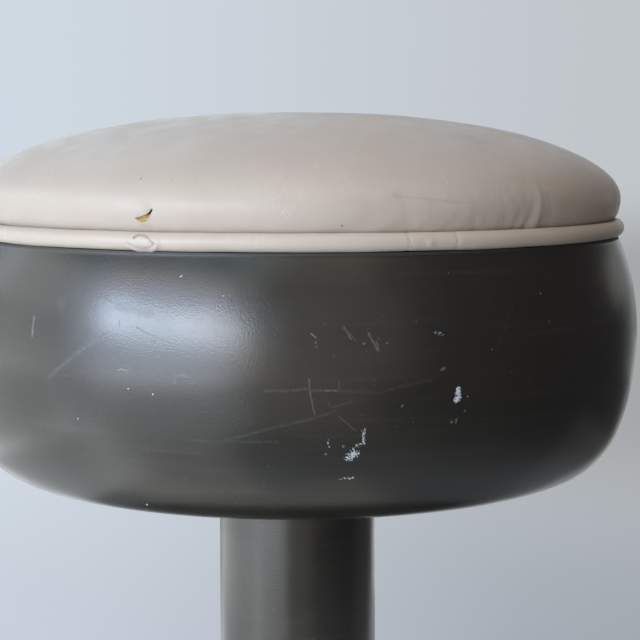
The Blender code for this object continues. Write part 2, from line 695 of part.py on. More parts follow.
def make_column(finishes):
    """Steel tube, and the plate welded into its foot for the base bolt."""
    tube(
        "column_tube", COLUMN_BORE, COLUMN_RADIUS, COLUMN_BOTTOM, COLUMN_TOP,
        finishes["paint"], COLUMN_FACETS,
    )
    tube(
        "column_foot_plate", BASE_BOLT_RADIUS + FIT_GAP, PLUG_RADIUS,
        COLUMN_BOTTOM, COLUMN_BOTTOM + FOOT_PLATE_THICKNESS, finishes["steel"], COLUMN_FACETS,
    )


# Base

def dish_outside():
    """The dish's outer outline, from the collar's top down to the edge that stands on the ring."""
    bore = COLUMN_RADIUS + FIT_GAP
    fillet_foot = DISH_EDGE_HEIGHT + DISH_EDGE_RADIUS + DISH_SLOPE_RISE
    collar = arc(
        (bore + DISH_WALL + DISH_COLLAR_FILLET, fillet_foot + DISH_COLLAR_FILLET),
        DISH_COLLAR_FILLET, 180, 270 - DISH_FILLET_LEAN, FILLET_STEPS,
    )
    edge_centre = (BASE_RADIUS - DISH_EDGE_RADIUS, DISH_EDGE_HEIGHT)
    edge = arc(edge_centre, DISH_EDGE_RADIUS, 90 - DISH_EDGE_LEAN, 0, EDGE_STEPS)
    collar_top = (collar[0][0], collar[0][1] + DISH_COLLAR_LIP)
    foot = (BASE_RADIUS, RING_FOOT_HEIGHT + FIT_GAP)
    return [collar_top, *collar, *edge, foot]


def make_dish(finishes):
    """Spun dish: collar up the column, shallow slope, rounded edge, open underneath."""
    outside = dish_outside()
    inside = inset(outside, DISH_WALL)
    turned("base_dish", outside + inside[::-1], finishes["paint"], BODY_FACETS)


def make_floor_ring(finishes):
    """Rubber ring under the dish's edge, with a lip that locates it inside the wall."""
    outer = BASE_RADIUS - FIT_GAP
    lip_outer = RING_LIP_RADIUS
    lip_inner = lip_outer - RING_LIP_WIDTH
    lip_top = RING_FOOT_HEIGHT + RING_LIP_HEIGHT
    outline = [
        (outer - RING_FOOT_WIDTH, 0.0), (outer, 0.0), (outer, RING_FOOT_HEIGHT),
        (lip_outer, RING_FOOT_HEIGHT), (lip_outer, lip_top), (lip_inner, lip_top),
        (lip_inner, RING_FOOT_HEIGHT), (outer - RING_FOOT_WIDTH, RING_FOOT_HEIGHT),
    ]
    turned("floor_ring", outline, finishes["rubber"], BODY_FACETS)


def make_ballast(finishes):
    """Cast plate on the ring: drafted hub under the column, recess below for the bolt's head."""
    bore = BASE_BOLT_RADIUS + FIT_GAP
    outline = [
        (bore, RECESS_TOP), (BALLAST_RECESS_RADIUS, RECESS_TOP),
        (BALLAST_RECESS_RADIUS, BALLAST_UNDERSIDE), (BALLAST_RADIUS, BALLAST_UNDERSIDE),
        (BALLAST_RADIUS, BALLAST_TOP), (BALLAST_HUB_RADIUS + BALLAST_HUB_DRAFT, BALLAST_TOP),
        (BALLAST_HUB_RADIUS, HUB_TOP), (bore, HUB_TOP),
    ]
    turned("ballast_plate", outline, finishes["iron"], BODY_FACETS)


def make_base_bolt(finishes):
    """Bolt and washer in the ballast's recess, which draw the column down on to the hub."""
    tube(
        "base_washer", BASE_BOLT_RADIUS + FIT_GAP, BASE_WASHER_RADIUS,
        BASE_WASHER_BOTTOM, BASE_WASHER_BOTTOM + BASE_WASHER_THICKNESS,
        finishes["zinc"], SHAFT_FACETS,
    )
    bolt(
        "base_bolt", BASE_BOLT_HEAD_BOTTOM, BASE_BOLT_HEAD_HEIGHT,
        BASE_BOLT_HEAD_ACROSS, BASE_BOLT_RADIUS, COLUMN_BOTTOM + FOOT_PLATE_THICKNESS,
        finishes["zinc"],
    )


def main():
    """Clears the scene and builds the stool from the floor up."""
    for thing in list(bpy.data.objects):
        bpy.data.objects.remove(thing)
    finishes = make_finishes()
    make_floor_ring(finishes)
    make_ballast(finishes)
    make_dish(finishes)
    make_base_bolt(finishes)
    make_column(finishes)
    make_plugs(finishes)
    make_bearing(finishes)
    make_stem(finishes)
    make_retainer(finishes)
    make_swivel_plate(finishes)
    make_drum(finishes)
    make_tie_bolts(finishes)
    make_board(finishes)
    make_foam(finishes)
    make_cover(finishes)
    make_piping(finishes)


main()
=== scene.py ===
"""Looks of a low swivel stool: a piped leather cushion on a painted steel drum and pedestal.

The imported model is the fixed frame, and every piece made here rides on one of its bodies.
Lengths are in metres unless a name ends in _mm. The side that the photo shows faces -Y, and an
azimuth is counted from there, to the right as that side is seen.
"""

import logging
import math
from dataclasses import dataclass, field
from enum import Enum

import bpy
import numpy as np
from mathutils import Matrix, Vector, noise


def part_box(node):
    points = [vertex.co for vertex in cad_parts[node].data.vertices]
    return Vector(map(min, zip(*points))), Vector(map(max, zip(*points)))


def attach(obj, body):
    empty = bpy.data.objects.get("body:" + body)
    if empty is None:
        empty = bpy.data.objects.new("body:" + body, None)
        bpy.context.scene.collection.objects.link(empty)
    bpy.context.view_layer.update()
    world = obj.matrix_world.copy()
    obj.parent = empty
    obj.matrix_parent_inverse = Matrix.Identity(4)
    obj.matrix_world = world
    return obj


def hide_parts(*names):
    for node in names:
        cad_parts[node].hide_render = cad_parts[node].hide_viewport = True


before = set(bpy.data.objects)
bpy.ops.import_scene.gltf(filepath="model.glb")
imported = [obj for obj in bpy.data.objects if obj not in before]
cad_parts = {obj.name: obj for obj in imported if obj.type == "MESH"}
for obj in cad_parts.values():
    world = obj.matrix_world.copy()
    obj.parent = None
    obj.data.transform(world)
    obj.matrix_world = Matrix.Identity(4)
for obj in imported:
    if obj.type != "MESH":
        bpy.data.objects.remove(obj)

log = logging.getLogger("stool")

Point = tuple[float, float]
Colour = tuple[float, float, float]
Socket = bpy.types.NodeSocket
Piece = bpy.types.Object

MM_PER_M = 1000.0
TINY = 1e-9

EQUATOR_MM = 335.0
DRUM_RADIUS_MM = 175.0
COVER_RADIUS_MM = 165.5


class Body(Enum):
    """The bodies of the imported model."""

    BASE = "base"
    SEAT = "seat"


class Slot(Enum):
    """The record's material slots, which are passed along with new pieces but not used to finish them."""

    PAINT = "paint"
    LEATHER = "leather"
    ZINC = "zinc"
    IRON = "iron"
    RUBBER = "rubber"


# Modelling


class Workbench:
    """Modelling steps that the sub-assemblies share, each run on one piece at a time."""

    @staticmethod
    def clear() -> None:
        """Leaves edit mode and deselects everything."""
        if bpy.context.mode != "OBJECT":
            bpy.ops.object.mode_set(mode="OBJECT")
        bpy.ops.object.select_all(action="DESELECT")

    @staticmethod
    def pick(piece: Piece) -> None:
        """Selects one piece alone and makes it the active one."""
        Workbench.clear()
        piece.select_set(True)
        bpy.context.view_layer.objects.active = piece

    @staticmethod
    def spin(name: str, outline: list[Point], steps: int) -> Piece:
        """Turns an outline about the vertical axis.

        Args:
            name: Name of the piece.
            outline: Points of distance from the axis and height. It is closed from its last point
                to its first, unless both lie on the axis.
            steps: Facets round the turn.

        Returns:
            The turned piece, closed, with its faces pointing outwards.
        """
        Workbench.clear()
        first_radius, first_height = outline[0]
        bpy.ops.mesh.primitive_plane_add(size=0.001, location=(first_radius, 0.0, first_height))
        piece = bpy.context.object
        piece.name = name
        piece.data.name = name
        bpy.ops.object.transform_apply(location=True, rotation=True, scale=True)
        bpy.ops.object.mode_set(mode="EDIT")
        bpy.ops.mesh.select_all(action="SELECT")
        bpy.ops.mesh.merge(type="CENTER")
        bpy.ops.mesh.select_all(action="SELECT")
        on_axis = outline[0][0] == 0.0 and outline[-1][0] == 0.0
        route = outline if on_axis else [*outline, outline[0]]
        for start, end in zip(route, route[1:]):
            step = (end[0] - start[0], 0.0, end[1] - start[1])
            bpy.ops.mesh.extrude_vertices_move(TRANSFORM_OT_translate={"value": step})
        bpy.ops.mesh.select_all(action="SELECT")
        bpy.ops.mesh.spin(steps=steps, angle=math.tau, center=(0, 0, 0), axis=(0, 0, 1))
        Workbench.mend(piece)
        return piece

    @staticmethod
    def mend(piece: Piece) -> None:
        """Merges a piece's doubled points and turns its faces outwards."""
        Workbench.pick(piece)
        bpy.ops.object.mode_set(mode="EDIT")
        bpy.ops.mesh.select_all(action="SELECT")
        bpy.ops.mesh.remove_doubles(threshold=2e-6)
        bpy.ops.mesh.normals_make_consistent(inside=False)
        bpy.ops.object.mode_set(mode="OBJECT")

    @staticmethod
    def apply(piece: Piece, modifier: bpy.types.Modifier) -> None:
        """Applies one of a piece's modifiers."""
        Workbench.pick(piece)
        bpy.ops.object.modifier_apply(modifier=modifier.name)

    @staticmethod
    def smooth(piece: Piece, degrees: float) -> None:
        """Shades a piece smooth, apart from edges sharper than an angle."""
        Workbench.pick(piece)
        bpy.ops.object.shade_smooth_by_angle(angle=math.radians(degrees))

    @staticmethod
    def copy(piece: Piece, name: str, shift: Vector) -> Piece:
        """Copies a piece with its own mesh.

        Args:
            piece: The piece that was modelled.
            name: Name of the copy.
            shift: How far the copy lies from it.

        Returns:
            The copy, with its place in its mesh.
        """
        Workbench.pick(piece)
        bpy.ops.object.duplicate(linked=False)
        twin = bpy.context.object
        twin.name = name
        twin.data.name = name
        bpy.ops.transform.translate(value=shift)
        bpy.ops.object.transform_apply(location=True, rotation=True, scale=True)
        return twin

    @staticmethod
    def soften(piece: Piece, width: float, segments: int = 2, degrees: float = 30.0) -> None:
        """Rounds a piece's edges.

        Args:
            piece: The piece.
            width: How far the rounding reaches.
            segments: Facets across it.
            degrees: The least angle of an edge that is rounded.
        """
        bevel = piece.modifiers.new("soften", "BEVEL")
        bevel.width = width
        bevel.segments = segments
        bevel.limit_method = "ANGLE"
        bevel.angle_limit = math.radians(degrees)
        Workbench.apply(piece, bevel)

    @staticmethod
    def rows(piece: Piece, what: str) -> np.ndarray:
        """Reads one value of each of a piece's points as rows of x, y and z."""
        flat = np.empty(len(piece.data.vertices) * 3)
        piece.data.vertices.foreach_get(what, flat)
        return flat.reshape(-1, 3)

    @staticmethod
    def points(piece: Piece) -> np.ndarray:
        """Reads where a piece's points are."""
        return Workbench.rows(piece, "co")

    @staticmethod
    def normals(piece: Piece) -> np.ndarray:
        """Reads the outward directions at a piece's points."""
        return Workbench.rows(piece, "normal")

    @staticmethod
    def move(piece: Piece, points: np.ndarray) -> None:
        """Puts a piece's points where the rows of an array say."""
        piece.data.vertices.foreach_set("co", points.ravel())
        piece.data.update()

    @staticmethod
    def dress(piece: Piece, *materials: bpy.types.Material) -> None:
        """Gives a piece its materials, in the order of its faces' indices."""
        piece.data.materials.clear()
        for material in materials:
            piece.data.materials.append(material)

    @staticmethod
    def fit(piece: Piece, body: Body, slot: Slot, *nodes: str) -> None:
        """Sets a finished piece on its body in place of CAD nodes.

        Args:
            piece: The finished piece.
            body: The body it moves with.
            slot: The record's slot that its finish belongs to; not used.
            nodes: The CAD nodes that it stands for.
        """
        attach(piece, body.value)
        if nodes:
            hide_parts(*nodes)
        log.info("%s rides on %s, %d faces", piece.name, body.value, len(piece.data.polygons))

    @staticmethod
    def complete(
        piece: Piece,
        material: bpy.types.Material,
        body: Body,
        slot: Slot,
        *nodes: str,
        degrees: float = 35.0,
    ) -> None:
        """Shades a piece, gives it its material and sets it on its body.

        Args:
            piece: The modelled piece.
            material: Its finish.
            body: The body it moves with.
            slot: The record's slot that its finish belongs to.
            nodes: The CAD nodes that it stands for.
            degrees: The angle over which an edge stays sharp.
        """
        Workbench.smooth(piece, degrees)
        Workbench.dress(piece, material)
        Workbench.fit(piece, body, slot, *nodes)


def arc(centre: Point, radius: float, start: float, end: float, steps: int) -> list[Point]:
    """Points along an arc.

    Args:
        centre: Its centre, as distance from the axis and height.
        radius: Its radius.
        start: Angle of its first point in degrees, from outwards, turning upwards.
        end: Angle of its last point.
        steps: Stretches between its points.

    Returns:
        The points, both ends included.
    """
    turns = [math.radians(start + (end - start) * i / steps) for i in range(steps + 1)]
    return [(centre[0] + radius * math.cos(t), centre[1] + radius * math.sin(t)) for t in turns]


def degree_mm(radius: float) -> float:
    """Millimetres along a circle for one degree of it."""
    return math.radians(1.0) * radius * MM_PER_M


def quarter(inner: float, outer: float, rise: float, powers: Point, steps: int) -> list[Point]:
    """A quarter of a superellipse, with its points evenly spread along it.

    Args:
        inner: Distance from the axis at its end.
        outer: Distance from the axis at its start.
        rise: Height of its end above its start.
        powers: The curve's powers outwards and upwards.
        steps: Stretches between its points.

    Returns:
        The points from (outer, 0) to (inner, rise).
    """
    turns = np.linspace(0.0, math.pi / 2, 2000)
    along = inner + (outer - inner) * np.clip(np.cos(turns), 0.0, 1.0) ** (2 / powers[0])
    up = rise * np.sin(turns) ** (2 / powers[1])
    length = np.concatenate([[0.0], np.cumsum(np.hypot(np.diff(along), np.diff(up)))])
    marks = np.linspace(0.0, length[-1], steps + 1)
    spread = zip(np.interp(marks, length, along), np.interp(marks, length, up))
    return [(float(r), float(z)) for r, z in spread]


def inset(outline: list[Point], distance: float) -> list[Point]:
    """An open outline moved to the right of its direction, square to itself.

    Args:
        outline: The points to move.
        distance: How far.

    Returns:
        The moved points.
    """
    points = [Vector(p) for p in outline]
    moved = []
    for i, point in enumerate(points):
        before = (point - points[i - 1]).normalized() if i else None
        after = (points[i + 1] - point).normalized() if i + 1 < len(points) else None
        along = ((before or after) + (after or before)).normalized()
        side = Vector((along.y, -along.x))
        lean = side.dot(Vector(((before or after).y, -(before or after).x)))
        moved.append(point + side * (distance / max(lean, 0.5)))
    return [(max(p.x, 0.0), p.y) for p in moved]


# Marks of use


@dataclass(frozen=True)
class Mark:
    """A straight scratch, chip, crease or line of painted shade on a turned surface.

    Angles are azimuths in degrees, heights are millimetres above the drum's equator.
    """

    azimuth: float
    height: float
    end_azimuth: float
    end_height: float
    width_mm: float = 0.5
    strength: float = 1.0


def dot(azimuth: float, height: float, width_mm: float, strength: float = 1.0) -> Mark:
    """A mark that is a single spot."""
    return Mark(azimuth, height, azimuth + 0.05, height, width_mm, strength)


def trail(width_mm: float, strength: float, *places: Point) -> tuple[Mark, ...]:
    """A scratch through several places, each an azimuth and a height.

    Args:
        width_mm: Its half width.
        strength: How much of it shows.
        places: The places, in order.

    Returns:
        One mark for each stretch.
    """
    return tuple(Mark(*start, *end, width_mm, strength) for start, end in zip(places, places[1:]))


def flecks(width_mm: float, strength: float, *places: Point) -> tuple[Mark, ...]:
    """Single spots of one size, each at an azimuth and a height."""
    return tuple(dot(*place, width_mm, strength) for place in places)


DRUM_SCRATCHES = (
    *trail(2.0, 0.1, (-37.2, -2.6), (-33.7, 5.0), (-28.6, 15.2)),
    *trail(1.1, 0.34, (-40.8, 22.8), (-40.9, 14.3)),
    *trail(0.6, 0.06, (-35.8, -1.4), (-32.8, -1.0)),
    *trail(0.6, 0.45, (-24.8, 3.1), (-24.3, 3.9), (-23.0, 3.2)),
    *trail(0.5, 0.26, (-15.9, 1.9), (-16.1, -0.9)),
    *trail(0.5, 0.34, (-15.5, 2.1), (-14.9, 2.9), (-13.7, 1.6)),
    *trail(0.5, 0.18, (-14.6, 0.7), (-13.6, -0.3)),
    *trail(0.6, 0.24, (2.4, 2.1), (2.6, -4.0), (3.2, -13.2)),
    *trail(1.0, 0.09, (-3.6, -3.0), (0.2, -2.9), (1.5, -2.2), (4.5, -3.1)),
    *trail(0.6, 0.34, (4.5, -3.1), (6.1, -3.1)),
    *trail(1.2, 0.04, (6.1, -3.2), (12.1, -4.5), (15.3, -2.0), (19.5, 0.2)),
    *trail(0.6, 0.09, (6.4, 0.4), (6.5, -3.4)),
    *trail(0.9, 0.08, (5.1, -8.7), (5.5, -10.1), (6.7, -9.2), (8.2, -7.8)),
    *trail(1.1, 0.07, (-9.2, -24.4), (-5.7, -21.5), (-1.5, -17.9), (2.2, -15.4), (6.1, -11.6)),
    *trail(1.1, 0.05, (-15.1, -25.2), (-1.7, -24.8)),
    *trail(1.0, 0.045, (-21.6, -30.5), (-12.3, -30.6)),
    *trail(0.5, 0.13, (6.4, -13.7), (7.2, -16.1), (8.9, -20.4)),
    *trail(0.8, 0.24, (7.2, 22.9), (7.6, 21.3), (8.1, 18.4)),
    *trail(0.5, 0.16, (8.0, 20.7), (8.7, 17.6)),
    *trail(0.8, 0.30, (10.6, 20.4), (11.0, 18.0), (11.7, 13.5)),
    *trail(0.5, 0.30, (11.6, 17.0), (12.0, 13.0)),
    *trail(0.5, 0.20, (11.9, 18.8), (12.0, 17.6)),
    *trail(0.5, 0.05, (33.4, 29.5), (31.2, 18.0), (29.3, 9.0)),
    *trail(0.7, 0.05, (43.2, 18.0), (43.4, 12.0)),
    *trail(0.5, 0.60, (2.8, 20.6), (3.3, 18.9)),
    *flecks(0.8, 0.30, (3.4, 15.2), (3.3, 16.8)),
    *flecks(1.1, 0.10, (4.6, 24.4), (5.7, 11.2)),
    *flecks(1.0, 0.45, (15.3, -10.4), (22.9, -18.6)),
    *trail(0.9, 0.6, (21.5, 4.9), (21.1, 4.1)),
    *trail(0.6, 0.60, (23.6, -17.9), (23.6, -19.2)),
)

DRUM_CHIPS = (
    *trail(2.3, 1.0, (23.6, -4.7), (23.6, -5.7)),
    *trail(2.7, 1.0, (23.75, -7.9), (23.5, -9.0)),
    *flecks(0.95, 0.85, (-23.2, -4.4), (-19.4, -6.0)),
    *flecks(0.85, 0.75, (-32.3, -19.7), (-23.6, -57.8), (-9.3, 35.2), (10.1, -20.2)),
    *flecks(0.8, 0.95, (-15.8, 43.2), (10.1, -25.5)),
)

DRUM_SPATTERS = (
    *trail(3.6, 1.0, (8.0, -32.0), (8.9, -30.3)),
    *trail(1.8, 0.9, (8.7, -28.5), (9.3, -30.6)),
    *trail(1.8, 0.75, (9.2, -26.6), (10.1, -25.5), (10.0, -20.2)),
    *trail(1.6, 0.55, (5.0, -24.3), (5.3, -26.9)),
    *flecks(2.2, 0.5, (4.8, -29.9), (7.2, -27.5), (-9.9, 31.4), (-19.9, -3.7)),
    *trail(1.7, 0.62, (20.2, 19.9), (21.1, 18.6)),
    *flecks(1.2, 0.6, (25.1, -8.0), (24.7, -14.2), (10.0, 16.2), (10.4, 13.6), (13.1, 16.4)),
    *trail(0.8, 0.65, (6.8, -41.9), (7.6, -41.5)),
    *trail(1.2, 0.85, (7.6, -41.5), (8.8, -41.4)),
    *flecks(1.0, 0.5, (29.2, 32.6), (29.1, 11.6), (39.0, 33.2), (40.0, 20.9)),
)

DRUM_SMEARS = (
    *trail(3.4, 0.4, (-25.3, 30.2), (-23.0, 29.0), (-21.4, 28.3)),
    *trail(2.6, 0.5, (-21.8, 28.2), (-19.8, 27.3)),
    *trail(0.9, 0.8, (-28.3, 15.9), (-26.8, 18.5)),
    *trail(0.6, 0.6, (-28.2, 33.8), (-26.3, 31.6)),
    *trail(0.55, 0.8, (-21.9, 21.7), (-19.6, 18.6)),
    *trail(0.5, 0.55, (-19.6, 18.6), (-16.4, 15.6)),
    *trail(0.5, 0.6, (-24.7, 24.0), (-24.6, 21.5)),
    *trail(0.8, 0.8, (-19.6, 16.2), (-18.9, 16.7)),
    *trail(9.0, 0.25, (-38.0, 30.0), (-33.5, 42.0)),
)

FOAM_SHADE = trail(1.0, 1.0, (-21.6, 69.0), (-21.05, 70.1), (-20.7, 71.6))

DRUM_RUST = trail(3.6, 0.28, (-35.6, 30.4), (-35.2, 27.6))

# Painted shade: dark lines along the cover's creases, which are also pressed in as relief.
COVER_CREASE_SHADES = (
    *trail(0.9, 0.25, (15.0, 76.6), (20.0, 75.2)),
    *trail(0.9, 0.32, (20.0, 75.2), (25.5, 73.4)),
    *trail(0.9, 0.15, (25.5, 73.4), (29.5, 72.5)),
)

COVER_WRINKLES = (
    *trail(0.4, 0.3, (-1.6, 68.9), (-0.1, 73.4)),
    *trail(0.4, 0.35, (-1.1, 68.4), (0.3, 72.6)),
    *trail(0.4, 0.3, (-0.8, 67.1), (0.5, 71.5)),
    *trail(0.4, 0.25, (-2.0, 67.5), (-1.2, 70.4)),
    *trail(0.4, 0.35, (3.3, 87.7), (4.2, 90.4)),
    *trail(0.4, 0.3, (3.8, 87.5), (4.9, 90.6)),
    *trail(0.5, 0.4, (8.0, 87.1), (8.3, 85.5)),
    *trail(0.4, 0.4, (24.1, 87.6), (23.9, 83.7)),
    *trail(0.4, 0.35, (24.2, 84.5), (24.0, 80.0)),
    *trail(0.4, 0.2, (17.5, 72.3), (17.6, 62.6)),
    *trail(0.4, 0.3, (20.2, 66.3), (20.4, 62.9)),
    *trail(0.5, 0.3, (33.0, 81.0), (32.3, 75.9), (32.4, 70.0)),
    *trail(0.4, 0.3, (32.6, 67.8), (33.6, 63.4)),
    *trail(0.4, 0.35, (28.2, 68.5), (29.0, 63.7)),
    *trail(0.4, 0.3, (27.9, 66.4), (28.5, 63.3)),
)

COVER_SPECKS = (
    dot(-23.7, 83.5, 0.55, 0.9),
    dot(-18.3, 82.8, 0.45, 0.5),
    dot(-14.4, 81.7, 0.45, 0.4),
    dot(7.3, 64.2, 0.7, 0.8),
)

# Painted shade: a soft dark patch under the tear.
COVER_SOFT_SHADE = trail(2.8, 0.17, (-22.5, 63.7), (-21.5, 63.3))

# Dark lines at the piping's joints, and a line of painted shade inside its scuff.
PIPING_JOINT_AND_SHADE_LINES = (
    *trail(0.4, 0.4, (16.6, 61.0), (18.0, 53.5)),
    *trail(0.4, 0.35, (24.6, 61.0), (24.9, 53.5)),
    *trail(
        0.9, 0.5, (-24.5, 56.8), (-23.8, 55.8), (-22.9, 54.7), (-21.8, 54.2), (-20.4, 55.3), (-19.9, 56.1)
    ),
)

PIPING_WRINKLES = (
    *trail(0.4, 0.35, (16.2, 59.9), (16.5, 56.6)),
    *trail(0.4, 0.4, (16.8, 59.9), (17.4, 55.7)),
    *trail(0.4, 0.3, (17.5, 58.2), (18.2, 54.8)),
    *trail(0.7, 0.6, (20.0, 56.4), (20.4, 55.3)),
    *trail(0.5, 0.3, (24.3, 59.5), (24.3, 57.0), (25.4, 56.0), (25.5, 59.0)),
    *trail(0.6, 0.35, (30.1, 58.7), (31.5, 58.8)),
)

# Painted shadow: dark arcs along the crinkled edge of the piping's scuff.
PIPING_CRINKLE_SHADOWS = (
    *trail(1.0, 0.80, (-23.35, 58.9), (-23.1, 59.5), (-22.75, 60.2)),
    *trail(0.7, 0.55, (-22.75, 60.2), (-21.9, 59.9), (-21.1, 59.0)),
    *trail(0.7, 0.60, (-21.1, 59.0), (-20.55, 57.5), (-20.1, 56.1)),
)

PIPING_SCUFFS = (
    *trail(3.2, 1.0, (-23.3, 57.2), (-22.0, 57.6), (-20.9, 56.6)),
    *trail(
        1.0, 0.5, (-24.6, 56.2), (-23.8, 54.4), (-22.65, 53.8), (-21.9, 53.4), (-20.8, 53.8), (-19.7, 54.9)
    ),
)


# Finishes


def tinted(colour: Colour, share: float) -> Colour:
    """A colour made darker or lighter."""
    return tuple(c * share for c in colour)


class Nodes:
    """A node tree in the making, with short calls for the nodes that finishes and world share."""

    def __init__(self, tree: bpy.types.NodeTree) -> None:
        """Takes a tree up as it is."""
        self.tree = tree

    def feed(self, socket: Socket, value: object) -> None:
        """Links a socket to an output, or sets it to a value."""
        if isinstance(value, bpy.types.NodeSocket):
            self.tree.links.new(value, socket)
        elif isinstance(value, tuple) and len(value) == 3 and socket.type == "RGBA":
            socket.default_value = (*value, 1.0)
        else:
            socket.default_value = value

    def node(self, kind: str, inputs: dict, **settings: object) -> bpy.types.Node:
        """Adds a node.

        Args:
            kind: Its type.
            inputs: What goes into its sockets, by name or number.
            settings: Its own properties.

        Returns:
            The node.
        """
        made = self.tree.nodes.new(kind)
        for name, value in settings.items():
            setattr(made, name, value)
        for name, value in inputs.items():
            self.feed(made.inputs[name], value)
        return made

    def math(self, operation: str, first: object, second: object = 0.0) -> Socket:
        """The result of one sum."""
        return self.node("ShaderNodeMath", {0: first, 1: second}, operation=operation).outputs[0]

    def times(self, first: object, second: object) -> Socket:
        """The product of two numbers."""
        return self.math("MULTIPLY", first, second)

    def rest(self, share: Socket) -> Socket:
        """What a share leaves of 1."""
        return self.math("SUBTRACT", 1.0, share)

    def vector(self, operation: str, first: Socket, second: object) -> Socket:
        """The result of one sum of vectors, a number where the sum gives one."""
        other = "Scale" if operation == "SCALE" else 1
        made = self.node("ShaderNodeVectorMath", {0: first, other: second}, operation=operation)
        return made.outputs["Value" if operation in ("DOT_PRODUCT", "DISTANCE") else 0]

    def split(self, where: Socket) -> bpy.types.NodeOutputs:
        """The three numbers of a place."""
        return self.node("ShaderNodeSeparateXYZ", {0: where}).outputs

    def ramp(self, value: Socket, low: object, high: object, to: tuple = (0.0, 1.0)) -> Socket:
        """A value carried smoothly from one range to another."""
        inputs = {0: value, 1: low, 2: high, 3: to[0], 4: to[1]}
        return self.node(
            "ShaderNodeMapRange", inputs, interpolation_type="SMOOTHSTEP", clamp=False
        ).outputs[0]

    def blend(self, share: object, first: object, second: object) -> Socket:
        """A mix of two colours."""
        inputs = {0: share, 6: first, 7: second}
        return self.node("ShaderNodeMix", inputs, data_type="RGBA").outputs[2]


def mark_group() -> bpy.types.NodeTree:
    """The node group that says how much a straight mark covers a point, made once."""
    name = "straight_mark"
    if name in bpy.data.node_groups:
        return bpy.data.node_groups[name]
    group = bpy.data.node_groups.new(name, "ShaderNodeTree")
    for socket in ("Place", "Start", "End"):
        group.interface.new_socket(socket, in_out="INPUT", socket_type="NodeSocketVector")
    for socket in ("Width", "Strength"):
        group.interface.new_socket(socket, in_out="INPUT", socket_type="NodeSocketFloat")
    group.interface.new_socket("Cover", in_out="OUTPUT", socket_type="NodeSocketFloat")
    nodes = Nodes(group)
    given = nodes.node("NodeGroupInput", {}).outputs
    run = nodes.vector("SUBTRACT", given["End"], given["Start"])
    offset = nodes.vector("SUBTRACT", given["Place"], given["Start"])
    along = nodes.vector("DOT_PRODUCT", offset, run)
    share = nodes.math("DIVIDE", along, nodes.vector("DOT_PRODUCT", run, run))
    share = nodes.math("MINIMUM", nodes.math("MAXIMUM", share, 0.0), 1.0)
    apart = nodes.vector("DISTANCE", offset, nodes.vector("SCALE", run, share))
    cover = nodes.ramp(apart, 0.0, given["Width"], (given["Strength"], 0.0))
    nodes.node("NodeGroupOutput", {0: cover})
    return group


class Recipe(Nodes):
    """One material in the making."""

    def __init__(self, name: str) -> None:
        """Starts a material that has only its shader."""
        self.material = bpy.data.materials.new(name)
        self.material.use_nodes = True
        super().__init__(self.material.node_tree)
        self.shader = self.tree.nodes["Principled BSDF"]

    def shade(self, **inputs: object) -> None:
        """Feeds the shader's own sockets, named with _ in place of spaces."""
        for name, value in inputs.items():
            self.feed(self.shader.inputs[name.replace("_", " ")], value)

    def place_mm(self) -> Socket:
        """The point on the piece, in millimetres of the frame that the CAD uses."""
        return self.vector("SCALE", self.node("ShaderNodeTexCoord", {}).outputs["Object"], MM_PER_M)

    def unroll(self, place: Socket, radius_mm: float) -> Socket:
        """A point of a turned surface as distance round it and height above the equator."""
        x, y, z = self.split(place)
        turn = self.math("ARCTAN2", x, self.times(y, -1.0))
        round_it = self.times(turn, radius_mm)
        height = self.math("SUBTRACT", z, EQUATOR_MM)
        return self.node("ShaderNodeCombineXYZ", {0: round_it, 1: height, 2: 0.0}).outputs[0]

    def stretch(self, where: Socket, scale: tuple[float, float, float]) -> Socket:
        """A place scaled by a different number along each axis."""
        return self.vector("MULTIPLY", where, scale)

    def noise(self, where: Socket, scale: float, detail: float = 2.0, roughness: float = 0.5) -> Socket:
        """Cloudy noise from 0 to 1."""
        inputs = {"Vector": where, "Scale": scale, "Detail": detail, "Roughness": roughness}
        return self.node("ShaderNodeTexNoise", inputs).outputs[0]

    def jitter(self, where: Socket, scale: float, reach: float) -> Socket:
        """A place shifted about by noise, so that marks on it waver."""
        inputs = {"Vector": where, "Scale": scale, "Detail": 2.0}
        shift = self.node("ShaderNodeTexNoise", inputs).outputs[1]
        centred = self.vector("SUBTRACT", shift, (0.5, 0.5, 0.5))
        return self.vector("ADD", where, self.vector("SCALE", centred, reach * 2.0))

    def cells(self, where: Socket, scale: float, feature: str = "F1") -> Socket:
        """Distance in a pattern of cells."""
        inputs = {"Vector": where, "Scale": scale}
        return self.node("ShaderNodeTexVoronoi", inputs, feature=feature).outputs["Distance"]

    def bump(self, height: Socket, depth: float, strength: float, below: Socket | None = None) -> Socket:
        """Relief from a height of 0 to 1.

        Args:
            height: The height.
            depth: What a height of 1 stands for.
            strength: Share of the relief that shows.
            below: Relief that this one lies on.

        Returns:
            The bent normal.
        """
        inputs = {"Height": height, "Distance": depth, "Strength": strength}
        if below is not None:
            inputs["Normal"] = below
        return self.node("ShaderNodeBump", inputs).outputs[0]

    def cover(self, where: Socket, marks: tuple[Mark, ...], radius_mm: float) -> Socket:
        """How much of a set of marks covers a point.

        Args:
            where: The point, as unroll gives it.
            marks: The marks.
            radius_mm: The radius that the surface was unrolled at.

        Returns:
            A value from 0 to 1.
        """
        total = None
        for mark in marks:
            inputs = {
                "Place": where,
                "Start": (math.radians(mark.azimuth) * radius_mm, mark.height, 0.0),
                "End": (math.radians(mark.end_azimuth) * radius_mm, mark.end_height, 0.0),
                "Width": mark.width_mm,
                "Strength": mark.strength,
            }
            one = self.node("ShaderNodeGroup", inputs, node_tree=mark_group()).outputs[0]
            total = one if total is None else self.math("MAXIMUM", total, one)
        return total


